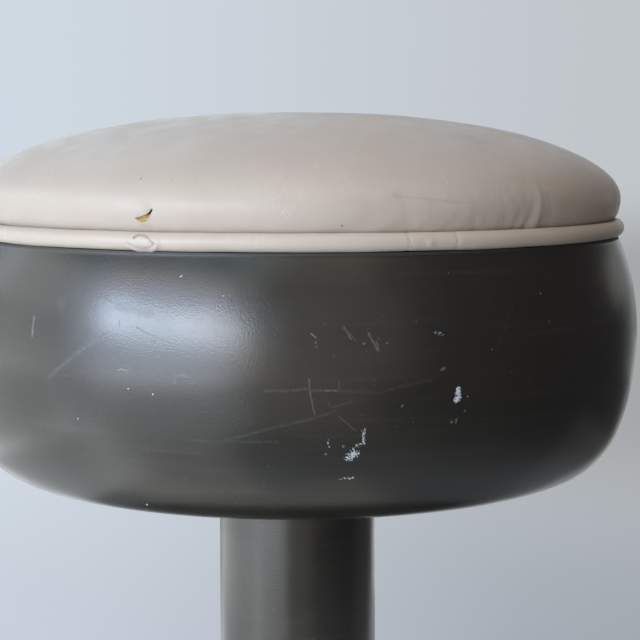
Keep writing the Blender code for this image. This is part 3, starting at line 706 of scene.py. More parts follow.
@dataclass(frozen=True)
class SatinPaint:
    """Dark satin enamel on steel: orange peel, uneven gloss, dust, and scratches and chips."""

    name: str
    colour: Colour = (0.0225, 0.0208, 0.0167)
    worn: Colour = (0.34, 0.34, 0.33)
    primer: Colour = (0.70, 0.76, 0.84)
    rust: Colour = (0.16, 0.07, 0.055)
    roughness: float = 0.25
    rim_mm: float = 52.2
    radius_mm: float = DRUM_RADIUS_MM
    scratches: tuple[Mark, ...] = ()
    chips: tuple[Mark, ...] = ()
    spatters: tuple[Mark, ...] = ()
    smears: tuple[Mark, ...] = ()
    rust_spots: tuple[Mark, ...] = ()

    def make(self) -> bpy.types.Material:
        """Makes the material."""
        recipe = Recipe(self.name)
        place = recipe.place_mm()
        colour = recipe.blend(
            recipe.ramp(recipe.noise(place, 0.018, 3.0), 0.35, 0.65),
            tinted(self.colour, 0.92),
            tinted(self.colour, 1.08),
        )
        wiped = recipe.noise(recipe.stretch(place, (0.012, 0.012, 0.5)), 1.0, 3.0, 0.6)
        colour = recipe.blend(recipe.ramp(wiped, 0.5, 0.8, (0.0, 0.035)), colour, self.worn)
        dusty = recipe.ramp(recipe.noise(place, 0.035, 2.0), 0.42, 0.62, (0.02, 0.15))
        dust = recipe.times(recipe.ramp(recipe.cells(place, 0.2), 0.07, 0.03), dusty)
        colour = recipe.blend(dust, colour, self.primer)
        gloss = recipe.ramp(
            recipe.noise(place, 0.04, 2.0), 0.3, 0.7, (self.roughness - 0.02, self.roughness + 0.03)
        )
        peel = recipe.noise(recipe.stretch(place, (1.1, 1.1, 1.6)), 1.0, 1.0)
        relief = recipe.bump(peel, 0.00009, 0.5)
        if self.scratches:
            colour, gloss, relief = self.wear(recipe, place, (colour, gloss, relief))
        recipe.shade(Base_Color=colour, Roughness=gloss, Normal=relief, IOR=1.6, Specular_IOR_Level=0.8)
        return recipe.material

    def wear(
        self, recipe: Recipe, place: Socket, fresh: tuple[Socket, Socket, Socket]
    ) -> tuple[Socket, Socket, Socket]:
        """Adds the marks of use.

        Args:
            recipe: The material in the making.
            place: The point on the piece.
            fresh: Colour, roughness and relief of the paint without them.

        Returns:
            Colour, roughness and relief with them.
        """
        colour, gloss, relief = fresh
        flat = recipe.unroll(place, self.radius_mm)
        shaky = recipe.jitter(flat, 0.35, 0.5)
        ragged = recipe.jitter(flat, 0.9, 0.7)
        grit = recipe.noise(flat, 1.4, 2.0)
        broken = recipe.ramp(recipe.noise(flat, 0.45, 3.0), 0.32, 0.6, (0.45, 1.0))
        scratch = recipe.times(recipe.cover(shaky, self.scratches, self.radius_mm), broken)
        solid = recipe.cover(ragged, self.chips, self.radius_mm)
        chip = recipe.ramp(
            recipe.math("ADD", solid, recipe.ramp(grit, 0.25, 0.75, (-0.5, 0.3))), 0.38, 0.6
        )
        spray = recipe.cover(shaky, self.spatters, self.radius_mm)
        fleck = recipe.ramp(
            recipe.math("ADD", spray, recipe.ramp(grit, 0.2, 0.8, (-0.7, 0.7))), 0.72, 0.95, (0.0, 0.8)
        )
        bare = recipe.math("MAXIMUM", chip, fleck)
        dull = recipe.times(
            recipe.cover(shaky, self.smears, self.radius_mm),
            recipe.ramp(recipe.noise(flat, 0.55, 4.0, 0.7), 0.3, 0.7, (0.3, 1.0)),
        )
        rust = recipe.cover(shaky, self.rust_spots, self.radius_mm)
        colour = recipe.blend(rust, colour, self.rust)
        colour = recipe.blend(scratch, colour, self.worn)
        colour = recipe.blend(bare, colour, self.primer)
        for mark, roughened in ((scratch, 0.35), (bare, 0.3), (dull, 0.22)):
            gloss = recipe.math("ADD", gloss, recipe.times(mark, roughened))
        grime = recipe.ramp(recipe.split(flat)[1], self.rim_mm - 0.8, self.rim_mm, (0.0, 0.4))
        gloss = recipe.math("ADD", gloss, grime)
        relief = recipe.bump(recipe.rest(bare), 0.0001, 0.5, relief)
        return colour, gloss, relief


@dataclass(frozen=True)
class CreamLeather:
    """Pale coated leather: fine grain, faint mottling and crackle, creases and scuffs, with painted shade
    on its left side, along its creases and crinkles, and in a soft patch.
    """

    name: str
    light: Colour = (0.65, 0.565, 0.49)
    deep: Colour = (0.62, 0.535, 0.46)
    pale: Colour = (0.80, 0.79, 0.77)
    scuff_colour: Colour = (0.60, 0.575, 0.54)
    # Dark colour for painted shade in creases and crinkles, and for dark joint lines and specks.
    crease_colour: Colour = (0.16, 0.12, 0.09)
    stain_and_shade_colour: Colour = (0.25, 0.20, 0.15)
    roughness: float = 0.39
    radius_mm: float = COVER_RADIUS_MM
    creases: tuple[Mark, ...] = ()
    wrinkles: tuple[Mark, ...] = ()
    specks: tuple[Mark, ...] = ()
    soft_shades: tuple[Mark, ...] = ()
    scuffs: tuple[Mark, ...] = ()
    crinkle_shadows: tuple[Mark, ...] = ()

    def make(self) -> bpy.types.Material:
        """Makes the material."""
        recipe = Recipe(self.name)
        place = recipe.place_mm()
        cloud = recipe.noise(place, 0.022, 5.0, 0.6)
        fine = recipe.noise(place, 0.5, 3.0)
        colour = recipe.blend(recipe.ramp(cloud, 0.3, 0.7), self.deep, self.light)
        colour = recipe.blend(recipe.times(recipe.ramp(fine, 0.45, 0.75), 0.12), colour, self.deep)
        # Painted shade: the leather is darkened towards its left side, by up to a fifth.
        left_side_shade = recipe.ramp(recipe.split(place)[0], 40.0, -140.0, (0.0, 0.22))
        colour = recipe.blend(left_side_shade, colour, tinted(self.deep, 0.4))
        lines = recipe.cells(recipe.jitter(place, 0.3, 1.2), 0.22, "DISTANCE_TO_EDGE")
        patch = recipe.ramp(recipe.noise(place, 0.03, 3.0), 0.48, 0.68)
        crackle = recipe.times(recipe.ramp(lines, 0.05, 0.0), patch)
        colour = recipe.blend(recipe.times(crackle, 0.05), colour, self.stain_and_shade_colour)
        folded = recipe.noise(recipe.stretch(place, (0.3, 0.3, 0.09)), 1.0, 3.0)
        beside = recipe.math("ABSOLUTE", recipe.math("SUBTRACT", folded, 0.5))
        wrinkle = recipe.times(
            recipe.ramp(beside, 0.03, 0.0),
            recipe.ramp(recipe.noise(place, 0.02, 2.0), 0.5, 0.65),
        )
        colour = recipe.blend(recipe.times(wrinkle, 0.2), colour, self.pale)
        grain = recipe.cells(place, 0.95, "SMOOTH_F1")
        relief = recipe.bump(grain, 0.00012, 0.30)
        relief = recipe.bump(recipe.rest(crackle), 0.00005, 0.3, relief)
        relief = recipe.bump(recipe.noise(place, 0.12, 3.0), 0.0006, 0.25, relief)
        colour, relief = self.wear(recipe, place, (colour, relief))
        gloss = recipe.ramp(
            recipe.noise(place, 0.08, 4.0), 0.3, 0.7, (self.roughness - 0.06, self.roughness + 0.08)
        )
        recipe.shade(Base_Color=colour, Roughness=gloss, Normal=relief, Specular_IOR_Level=0.38)
        return recipe.material

    def wear(self, recipe: Recipe, place: Socket, fresh: tuple[Socket, Socket]) -> tuple[Socket, Socket]:
        """Adds the marks of use, with painted shade along creases and crinkles and in a soft patch.

        Args:
            recipe: The material in the making.
            place: The point on the piece.
            fresh: Colour and relief of the leather without them.

        Returns:
            Colour and relief with them.
        """
        colour, relief = fresh
        flat = recipe.jitter(recipe.unroll(place, self.radius_mm), 0.25, 0.7)
        # Crease and line marks press in relief and darken the colour: painted shade along the cover's
        # creases and inside the piping's scuff, and dark joint lines on the piping.
        if self.creases:
            crease = recipe.cover(flat, self.creases, self.radius_mm)
            colour = recipe.blend(recipe.times(crease, 0.35), colour, self.crease_colour)
            relief = recipe.bump(recipe.rest(crease), 0.0006, 0.5, relief)
        if self.wrinkles:
            raised = recipe.cover(flat, self.wrinkles, self.radius_mm)
            colour = recipe.blend(raised, colour, self.pale)
            relief = recipe.bump(raised, 0.0003, 0.4, relief)
        # Specks are dark dirt; the soft patch is painted shade.
        for marks, tone in ((self.specks, self.crease_colour), (self.soft_shades, self.stain_and_shade_colour)):
            if marks:
                colour = recipe.blend(recipe.cover(flat, marks, self.radius_mm), colour, tone)
        if self.scuffs:
            rubbed = recipe.times(
                recipe.ramp(recipe.cover(flat, self.scuffs, self.radius_mm), 0.05, 0.9),
                recipe.ramp(recipe.noise(flat, 0.8, 3.0), 0.3, 0.7, (0.2, 0.75)),
            )
            colour = recipe.blend(rubbed, colour, self.scuff_colour)
        # Painted shadow of the crinkled edge round the scuff darkens the colour, with relief pressed in
        # along it.
        if self.crinkle_shadows:
            crinkle_shadow = recipe.times(
                recipe.cover(flat, self.crinkle_shadows, self.radius_mm),
                recipe.ramp(recipe.noise(flat, 1.3, 2.0), 0.35, 0.6, (0.3, 1.0)),
            )
            colour = recipe.blend(crinkle_shadow, colour, self.crease_colour)
            relief = recipe.bump(recipe.rest(crinkle_shadow), 0.0006, 0.6, relief)
        return colour, relief


@dataclass(frozen=True)
class OpenFoam:
    """Aged yellow upholstery foam with open cells."""

    name: str = "yellow_foam"
    light: Colour = (0.64, 0.49, 0.21)
    deep: Colour = (0.34, 0.22, 0.07)
    shadow: Colour = (0.06, 0.04, 0.015)
    radius_mm: float = COVER_RADIUS_MM
    shade: tuple[Mark, ...] = FOAM_SHADE

    def make(self) -> bpy.types.Material:
        """Makes the material."""
        recipe = Recipe(self.name)
        place = recipe.place_mm()
        cell = recipe.cells(place, 1.6)
        colour = recipe.blend(recipe.ramp(cell, 0.2, 0.6), self.deep, self.light)
        aged = recipe.ramp(recipe.noise(place, 0.3, 3.0), 0.5, 0.8)
        colour = recipe.blend(recipe.times(aged, 0.5), colour, self.deep)
        depth = recipe.cover(recipe.unroll(place, self.radius_mm), self.shade, self.radius_mm)
        colour = recipe.blend(recipe.ramp(depth, 0.1, 0.7), colour, self.shadow)
        relief = recipe.bump(cell, 0.0005, 0.9)
        recipe.shade(Base_Color=colour, Roughness=0.95, Normal=relief, Specular_IOR_Level=0.1)
        return recipe.material


@dataclass(frozen=True)
class BareMetal:
    """Bright or dull metal, with the direction of its working and uneven gloss."""

    name: str
    colour: Colour
    roughness: float
    spread: float = 0.06
    pull: tuple[float, float, float] = (0.4, 0.4, 3.0)

    def make(self) -> bpy.types.Material:
        """Makes the material."""
        recipe = Recipe(self.name)
        place = recipe.place_mm()
        lines = recipe.noise(recipe.stretch(place, self.pull), 1.0, 3.0, 0.6)
        cloud = recipe.noise(place, 0.09, 4.0)
        colour = recipe.blend(recipe.ramp(cloud, 0.3, 0.7), tinted(self.colour, 0.82), self.colour)
        gloss = recipe.ramp(
            lines, 0.25, 0.75, (self.roughness - self.spread, self.roughness + self.spread)
        )
        relief = recipe.bump(lines, 0.00004, 0.3)
        recipe.shade(Base_Color=colour, Metallic=1.0, Roughness=gloss, Normal=relief)
        return recipe.material


@dataclass(frozen=True)
class MouldedStuff:
    """Rubber, nylon or cast iron: one colour with a fine skin and faint blotches."""

    name: str
    colour: Colour
    roughness: float
    skin_per_mm: float
    depth: float

    def make(self) -> bpy.types.Material:
        """Makes the material."""
        recipe = Recipe(self.name)
        place = recipe.place_mm()
        cloud = recipe.noise(place, 0.06, 4.0)
        colour = recipe.blend(recipe.ramp(cloud, 0.3, 0.7), tinted(self.colour, 0.8), self.colour)
        skin = recipe.noise(place, self.skin_per_mm, 3.0, 0.6)
        gloss = recipe.ramp(skin, 0.3, 0.7, (self.roughness - 0.06, self.roughness + 0.06))
        relief = recipe.bump(skin, self.depth, 0.5)
        recipe.shade(Base_Color=colour, Roughness=gloss, Normal=relief)
        return recipe.material


@dataclass(frozen=True)
class Plywood:
    """Birch plywood: long grain on its faces, plies on its edge."""

    name: str = "plywood"
    light: Colour = (0.60, 0.45, 0.28)
    deep: Colour = (0.42, 0.28, 0.15)

    def make(self) -> bpy.types.Material:
        """Makes the material."""
        recipe = Recipe(self.name)
        place = recipe.place_mm()
        grain = recipe.noise(recipe.stretch(place, (0.02, 0.5, 0.02)), 1.0, 4.0, 0.6)
        plies = recipe.math("SINE", recipe.times(recipe.split(place)[2], 3.9))
        colour = recipe.blend(recipe.ramp(grain, 0.35, 0.65), self.deep, self.light)
        colour = recipe.blend(recipe.times(recipe.ramp(plies, 0.4, 0.9), 0.25), colour, self.deep)
        recipe.shade(Base_Color=colour, Roughness=0.7, Normal=recipe.bump(grain, 0.0002, 0.4))
        return recipe.material


# Sub-assemblies


@dataclass
class SeatDrum:
    """Spun steel bowl under the cushion, widest at its equator."""

    equator: float = EQUATOR_MM / MM_PER_M
    radius: float = DRUM_RADIUS_MM / MM_PER_M
    wall: float = 0.002
    shoulder: float = 0.053
    draw_in: float = 0.0107
    shoulder_power: float = 2.3
    belly: float = 0.0653
    floor_radius: float = 0.1225
    belly_powers: Point = (4.65, 1.57)
    rim_fillet: float = 0.0004
    rim_width: float = 0.0185
    floor_hole: float = 0.0268
    shoulder_steps: int = 24
    belly_steps: int = 48
    steps: int = 256

    def outline(self) -> list[Point]:
        """The outer outline, from the rim's inner edge round to the floor's hole."""
        wall = []
        for i in range(self.shoulder_steps + 1):
            share = (1 - i / self.shoulder_steps) * (1 - self.rim_fillet / self.shoulder)
            lean = self.draw_in * share ** self.shoulder_power
            wall.append((self.radius - lean, self.equator + share * self.shoulder))
        rim_height = self.equator + self.shoulder
        corner = (wall[0][0] - self.rim_fillet, rim_height - self.rim_fillet)
        rim = arc(corner, self.rim_fillet, 90, 0, 8)[:-1]
        curve = quarter(
            self.floor_radius, self.radius, -self.belly, self.belly_powers, self.belly_steps
        )
        lower = [(r, self.equator + z) for r, z in curve[1:]]
        start = (rim[0][0] - self.rim_width, rim_height)
        return [start, *rim, *wall, *lower, (self.floor_hole, self.equator - self.belly)]

    def build(self, paint: bpy.types.Material) -> None:
        """Builds and paints the drum.

        Args:
            paint: Its paint, with the scratches and chips of use.
        """
        outside = self.outline()
        drum = Workbench.spin("drum", outside + inset(outside, self.wall)[::-1], self.steps)
        Workbench.complete(drum, paint, Body.SEAT, Slot.PAINT, "seat_drum", degrees=50)


COVER_CLOTH = {
    "quality": 6,
    "mass": 0.4,
    "tension_stiffness": 30.0,
    "compression_stiffness": 30.0,
    "shear_stiffness": 10.0,
    "bending_stiffness": 5.0,
    "use_pressure": True,
    "uniform_pressure_force": 4.0,
}


@dataclass
class Fold:
    """A soft fold pressed into the cushion's side, running up from its seam."""

    azimuth: float
    top_mm: float
    lean: float
    depth: float
    width_mm: float = 1.7
    fade_power: float = 0.6

    def press(
        self, azimuth: np.ndarray, height: np.ndarray, seam: float, per_degree: float
    ) -> np.ndarray:
        """How far the fold presses points in.

        Args:
            azimuth: Azimuths of the points.
            height: Their heights above the equator in millimetres.
            seam: The seam's height there.
            per_degree: Millimetres along the cover for a degree.

        Returns:
            A depth for each point.
        """
        along = np.clip((height - seam) / (self.top_mm - seam), 0.0, 1.0)
        across = (azimuth - self.azimuth - self.lean * along) * per_degree
        fade = (1 - along) ** self.fade_power * (height > seam - 1.0)
        return self.depth * np.exp(-0.5 * (across / self.width_mm) ** 2) * fade


@dataclass
class LongCrease:
    """The shallow crease across the cover's right side, which fades to its end.

    Its places are azimuths in degrees and heights in millimetres above the drum's equator.
    """

    start: float = 16.0
    end: float = 31.5
    passes: Point = (17.0, 76.0)
    run: float = 13.7
    drop_mm: float = 3.8
    fading: float = 9.0
    depth: float = 0.0003
    width_mm: float = 1.6

    def press(self, azimuth: np.ndarray, height: np.ndarray, per_degree: float) -> np.ndarray:
        """How far the crease presses points in.

        Args:
            azimuth: Azimuths of the points.
            height: Their heights above the equator in millimetres.
            per_degree: Millimetres along the cover for a degree.

        Returns:
            A depth for each point.
        """
        nearest = np.clip(azimuth, self.start, self.end)
        level = self.passes[1] - self.drop_mm * (nearest - self.passes[0]) / self.run
        away = np.hypot((azimuth - nearest) * per_degree, height - level)
        fade = np.clip((self.end - azimuth) / self.fading, 0.0, 1.0)
        return self.depth * np.exp(-0.5 * (away / self.width_mm) ** 2) * fade


@dataclass
class Tear:
    """The crescent-shaped tear, with the flap that lifts over it and the pinch that runs on from it.

    Its own millimetres count to the right along the cover, up along it, and out of it.
    """

    azimuth: float = -22.2
    height: float = 0.4033
    rim_mm: tuple[Point, ...] = (
        (-4.7, -1.5), (-3.3, -1.0), (-1.3, -0.65), (0.7, -0.05), (2.0, 0.55), (3.0, 1.3), (3.75, 2.4),
        (4.4, 3.1), (4.5, 1.9), (3.8, 0.4), (2.75, -1.3), (1.4, -2.8), (-0.5, -3.6), (-2.3, -3.4),
        (-3.5, -2.6),
    )
    steps: tuple[Point, ...] = ((0.003, 1.0), (0.0006, 0.97), (0.0006, 0.85), (0.0006, 0.6))
    lift: float = 0.003
    sink: float = 0.0008
    flap_mm: Point = (-0.6, 2.2)
    flap_size_mm: Point = (3.8, 2.2)
    flap_height: float = 0.0011
    pinch_mm: Point = (4.2, 3.0)
    pinch_run_mm: Point = (-3.0, 2.0)
    pinch_width_mm: float = 0.9
    pinch_depth: float = 0.0005
    reach_mm: float = 12.0

    def axes(self, cover_radius: float) -> Matrix:
        """Axes at the tear: to the right along the cover, up along it, and out of it."""
        turn = math.radians(self.azimuth)
        out = Vector((math.sin(turn), -math.cos(turn), 0.0))
        right = Vector((math.cos(turn), math.sin(turn), 0.0))
        up = out.cross(right)
        place = out * cover_radius + Vector((0.0, 0.0, self.height))
        return Matrix((
            (right.x, up.x, out.x, place.x), (right.y, up.y, out.y, place.y),
            (right.z, up.z, out.z, place.z), (0.0, 0.0, 0.0, 1.0),
        ))

    def cutter(self, cover_radius: float) -> Piece:
        """Makes the block that cuts the tear down to the foam.

        Args:
            cover_radius: How far the cover is from the stool's axis there.

        Returns:
            The block, which narrows step by step towards its bottom.
        """
        Workbench.clear()
        bpy.ops.mesh.primitive_circle_add(vertices=len(self.rim_mm), radius=0.003, fill_type="NGON")
        block = bpy.context.object
        block.name = "tear_cutter"
        rim = [(x / MM_PER_M, y / MM_PER_M, self.lift) for x, y in self.rim_mm]
        Workbench.move(block, np.array(rim))
        bpy.ops.object.mode_set(mode="EDIT")
        bpy.ops.mesh.select_all(action="SELECT")
        for depth, share in self.steps:
            bpy.ops.mesh.extrude_region_move(TRANSFORM_OT_translate={"value": (0.0, 0.0, -depth)})
            bpy.ops.transform.resize(value=(share, share, 1.0), center_override=(0.0, -self.sink, 0.0))
        bpy.ops.object.mode_set(mode="OBJECT")
        block.data.transform(self.axes(cover_radius))
        Workbench.mend(block)
        return block

    def raised(self, points: np.ndarray, cover_radius: float) -> tuple[np.ndarray, np.ndarray]:
        """How the cover lies round the tear.

        Args:
            points: Points of the cover.
            cover_radius: How far the cover is from the stool's axis there.

        Returns:
            How far each point is lifted by the flap, and pressed in by the pinch.
        """
        own = np.array(self.axes(cover_radius).inverted())
        x, y, z = ((np.c_[points, np.ones(len(points))] @ own.T)[:, :3] * MM_PER_M).T
        close = np.abs(z) < self.reach_mm
        from_x, from_y = self.pinch_mm
        run_x, run_y = self.pinch_run_mm
        flap_x, flap_y = self.flap_mm
        wide, tall = self.flap_size_mm
        flap = np.exp(-((x - flap_x) / wide) ** 2 - ((y - flap_y) / tall) ** 2)
        along = (x - from_x) * run_x + (y - from_y) * run_y
        share = np.clip(along / (run_x ** 2 + run_y ** 2), 0.0, 1.0)
        beside = np.hypot(x - from_x - run_x * share, y - from_y - run_y * share)
        pinch = np.exp(-((beside / self.pinch_width_mm) ** 2)) * (1 - share)
        return self.flap_height * flap * close, self.pinch_depth * pinch * close


@dataclass
class Cushion:
    """Foam cushion in a leather cover, swollen between its seam and its crown, with its damage."""

    hem_height: float = 0.3883
    waist_height: float = 0.3943
    seam_height: float = 0.3957
    widest_height: float = 0.4072
    crown_height: float = 0.4497
    waist_radius: float = 0.1587
    seam_radius: float = 0.161
    widest_radius: float = COVER_RADIUS_MM / MM_PER_M
    dome_powers: Point = (2.22, 1.89)
    board_radius: float = 0.1572
    board_top: float = 0.4024
    hem_radius: float = 0.1289
    hem_thickness: float = 0.0015
    hem_gap: float = 0.0003
    recess_depth: float = 0.004
    dome_steps: int = 72
    tuck_steps: int = 8
    voxel: float = 0.004
    sewn_margin: float = 0.001
    most_swell: float = 0.006
    swell_frames: int = 20
    bands: int = 40
    gather_depth: float = 0.00022
    gather_reach_mm: float = 6.0
    gathers_per_degree: float = 0.34
    gather_start: float = -40.0
    gather_rise: float = 60.0
    gather_least: float = 0.25
    hollow_depth: float = 0.0004
    hollows_per_metre: float = 26.0
    ripple_depth: float = 0.00005
    ripples_per_metre: float = 90.0
    tear: Tear = field(default_factory=Tear)
    crease: LongCrease = field(default_factory=LongCrease)
    folds: tuple[Fold, ...] = (
        Fold(34.4, 69.0, -0.5, 0.0003, 2.2),
        Fold(36.2, 70.0, 0.9, 0.0005, 1.2),
        Fold(38.4, 72.5, 1.2, 0.0006, 1.3),
        Fold(40.6, 84.0, 0.9, -0.0005, 1.45),
        Fold(43.2, 78.0, 0.8, 0.0003, 2.4),
        Fold(28.6, 68.5, -0.3, 0.0004),
        Fold(17.8, 68.0, -0.3, 0.0003),
    )

    def outline(self) -> list[Point]:
        """The outer outline, from the crown over the side and under the hem to the axis."""
        rise = self.crown_height - self.widest_height
        dome = quarter(0.0, self.widest_radius, rise, self.dome_powers, self.dome_steps)
        top = [(r, self.widest_height + z) for r, z in reversed(dome)]
        drop = self.seam_height - self.widest_height
        tuck = quarter(self.seam_radius, self.widest_radius, drop, (2.0, 2.0), self.tuck_steps)
        side = [(r, self.widest_height + z) for r, z in tuck[1:]]
        return [
            (0.0, self.crown_height), *top[1:], *side, (self.waist_radius, self.waist_height),
            (self.waist_radius, self.hem_height), (0.0, self.hem_height),
        ]

    def former(self) -> Piece:
        """The cushion's measured form, which the swollen one is held to."""
        return Workbench.spin("cushion_former", self.outline(), steps=192)

    def swell(self, pad: Piece) -> None:
        """Blows the cover up over its foam with a cloth simulation, sewn down at the seam.

        Args:
            pad: The remeshed cushion.
        """
        before = Workbench.points(pad)
        sewn = pad.vertex_groups.new(name="sewn")
        low = np.nonzero(before[:, 2] < self.seam_height + self.sewn_margin)[0]
        sewn.add([int(i) for i in low], 1.0, "REPLACE")
        cloth = pad.modifiers.new("leather", "CLOTH")
        for setting, value in COVER_CLOTH.items():
            setattr(cloth.settings, setting, value)
        cloth.settings.vertex_group_mass = sewn.name
        cloth.settings.effector_weights.gravity = 0.0
        cloth.point_cache.frame_start = 1
        cloth.point_cache.frame_end = self.swell_frames
        for moment in range(1, self.swell_frames + 1):
            bpy.context.scene.frame_set(moment)
        Workbench.apply(pad, cloth)
        moved = Workbench.points(pad) - before
        reach = np.linalg.norm(moved, axis=1, keepdims=True)
        Workbench.move(pad, before + moved * np.minimum(1.0, self.most_swell / np.maximum(reach, TINY)))
        bpy.context.scene.frame_set(1)

    def hold(self, pad: Piece) -> None:
        """Brings the swollen cushion back to the measured outline on average, keeping its unevenness.

        Args:
            pad: The swollen cushion.
        """
        points = Workbench.points(pad)
        outline = np.array(self.outline())
        middle = self.seam_height
        angle = np.arctan2(outline[:, 1] - middle, outline[:, 0])
        far = np.hypot(outline[:, 1] - middle, outline[:, 0])
        order = np.argsort(angle)
        round_it = np.hypot(points[:, 0], points[:, 1])
        lift = points[:, 2] - middle
        own_angle = np.arctan2(lift, round_it)
        own_far = np.hypot(lift, round_it)
        excess = own_far - np.interp(own_angle, angle[order], far[order])
        upper = own_angle > 0.0
        edges = np.linspace(0.0, math.pi / 2, self.bands + 1)
        band = np.where(upper, np.clip(np.digitize(own_angle, edges) - 1, 0, self.bands - 1), -1)
        inside = [band == number for number in range(self.bands)]
        mean = np.array([excess[rows].mean() if np.any(rows) else 0.0 for rows in inside])
        middles = (edges[1:] + edges[:-1]) / 2
        shift = np.where(upper, np.interp(own_angle, middles, mean), 0.0)
        share = (own_far - shift) / np.maximum(own_far, TINY)
        points[:, 0] *= share
        points[:, 1] *= share
        points[:, 2] = middle + lift * share
        Workbench.move(pad, points)

    def crumple(self, pad: Piece) -> None:
        """Presses folds, crease, gathers and soft hollows into the cover, and lifts it at the tear.

        Args:
            pad: The cushion, subdivided.
        """
        points = Workbench.points(pad)
        outward = Workbench.normals(pad)
        azimuth = np.degrees(np.arctan2(points[:, 0], -points[:, 1]))
        height = points[:, 2] * MM_PER_M - EQUATOR_MM
        seam = self.seam_height * MM_PER_M - EQUATOR_MM
        per_degree = degree_mm(self.widest_radius)
        press = np.zeros(len(points))
        for fold in self.folds:
            press -= fold.press(azimuth, height, seam, per_degree)
        press -= self.crease.press(azimuth, height, per_degree)
        near_seam = np.exp(-((height - seam) / self.gather_reach_mm) ** 2) * (height > seam - 1.0)
        gathers = np.array([noise.noise(Vector((a * self.gathers_per_degree, 0.0, 5.0))) for a in azimuth])
        growing = np.clip((azimuth - self.gather_start) / self.gather_rise, self.gather_least, 1.0)
        press += self.gather_depth * gathers * near_seam * growing
        spots = [Vector(point) for point in points]
        hollows = np.array([noise.noise(spot * self.hollows_per_metre) for spot in spots])
        shift = Vector((3.0, 1.0, 7.0))
        ripples = np.array([noise.noise(spot * self.ripples_per_metre + shift) for spot in spots])
        press += (self.hollow_depth * hollows + self.ripple_depth * ripples) * (height > seam + 1.0)
        flap, pinch = self.tear.raised(points, self.widest_radius)
        press += flap
        press -= pinch
        Workbench.move(pad, points + outward * press[:, None])

    def recess_cutter(self) -> Piece:
        """The block that makes room for the seat board."""
        low = self.hem_height - self.recess_depth
        side = [(self.board_radius, self.board_top), (self.board_radius, low)]
        return Workbench.spin("recess_cutter", [(0.0, self.board_top), *side, (0.0, low)], steps=96)

    def build(self, leather: bpy.types.Material, foam: bpy.types.Material) -> None:
        """Builds the cushion from its measured form, swells it, crumples it and tears it.

        Args:
            leather: The cover's finish.
            foam: What shows in the tear.
        """
        former = self.former()
        pad = Workbench.copy(former, "cushion", Vector((0.0, 0.0, 0.0)))
        pad.data.remesh_voxel_size = self.voxel
        bpy.ops.object.voxel_remesh()
        wrap = pad.modifiers.new("wrap", "SHRINKWRAP")
        wrap.target = former
        Workbench.apply(pad, wrap)
        self.swell(pad)
        self.hold(pad)
        finer = pad.modifiers.new("finer", "SUBSURF")
        finer.levels = 1
        finer.render_levels = 1
        Workbench.apply(pad, finer)
        self.crumple(pad)
        Workbench.dress(pad, leather)
        tear = self.tear.cutter(self.widest_radius)
        recess = self.recess_cutter()
        Workbench.dress(tear, foam)
        Workbench.dress(recess, leather)
        for cutter in (recess, tear):
            cut = pad.modifiers.new("cut", "BOOLEAN")
            cut.operation = "DIFFERENCE"
            cut.solver = "EXACT"
            cut.material_mode = "TRANSFER"
            cut.object = cutter
            Workbench.apply(pad, cut)
        for tool in (former, tear, recess):
            bpy.data.objects.remove(tool)
        Workbench.smooth(pad, degrees=45)
        Workbench.fit(pad, Body.SEAT, Slot.LEATHER, "cushion_cover", "foam_pad")

    def build_hem(self, leather: bpy.types.Material) -> None:
        """Builds the edge of the cover that is turned under the seat board.

        Args:
            leather: The cover's finish.
        """
        top = self.hem_height + self.hem_thickness
        outer = self.board_radius - self.hem_gap
        middle = (self.hem_radius, self.hem_height + self.hem_thickness / 2)
        edge = arc(middle, self.hem_thickness / 2, 270, 90, 6)
        hem = Workbench.spin("cover_hem", [(outer, self.hem_height), *edge, (outer, top)], steps=128)
        Workbench.complete(hem, leather, Body.SEAT, Slot.LEATHER, degrees=40)


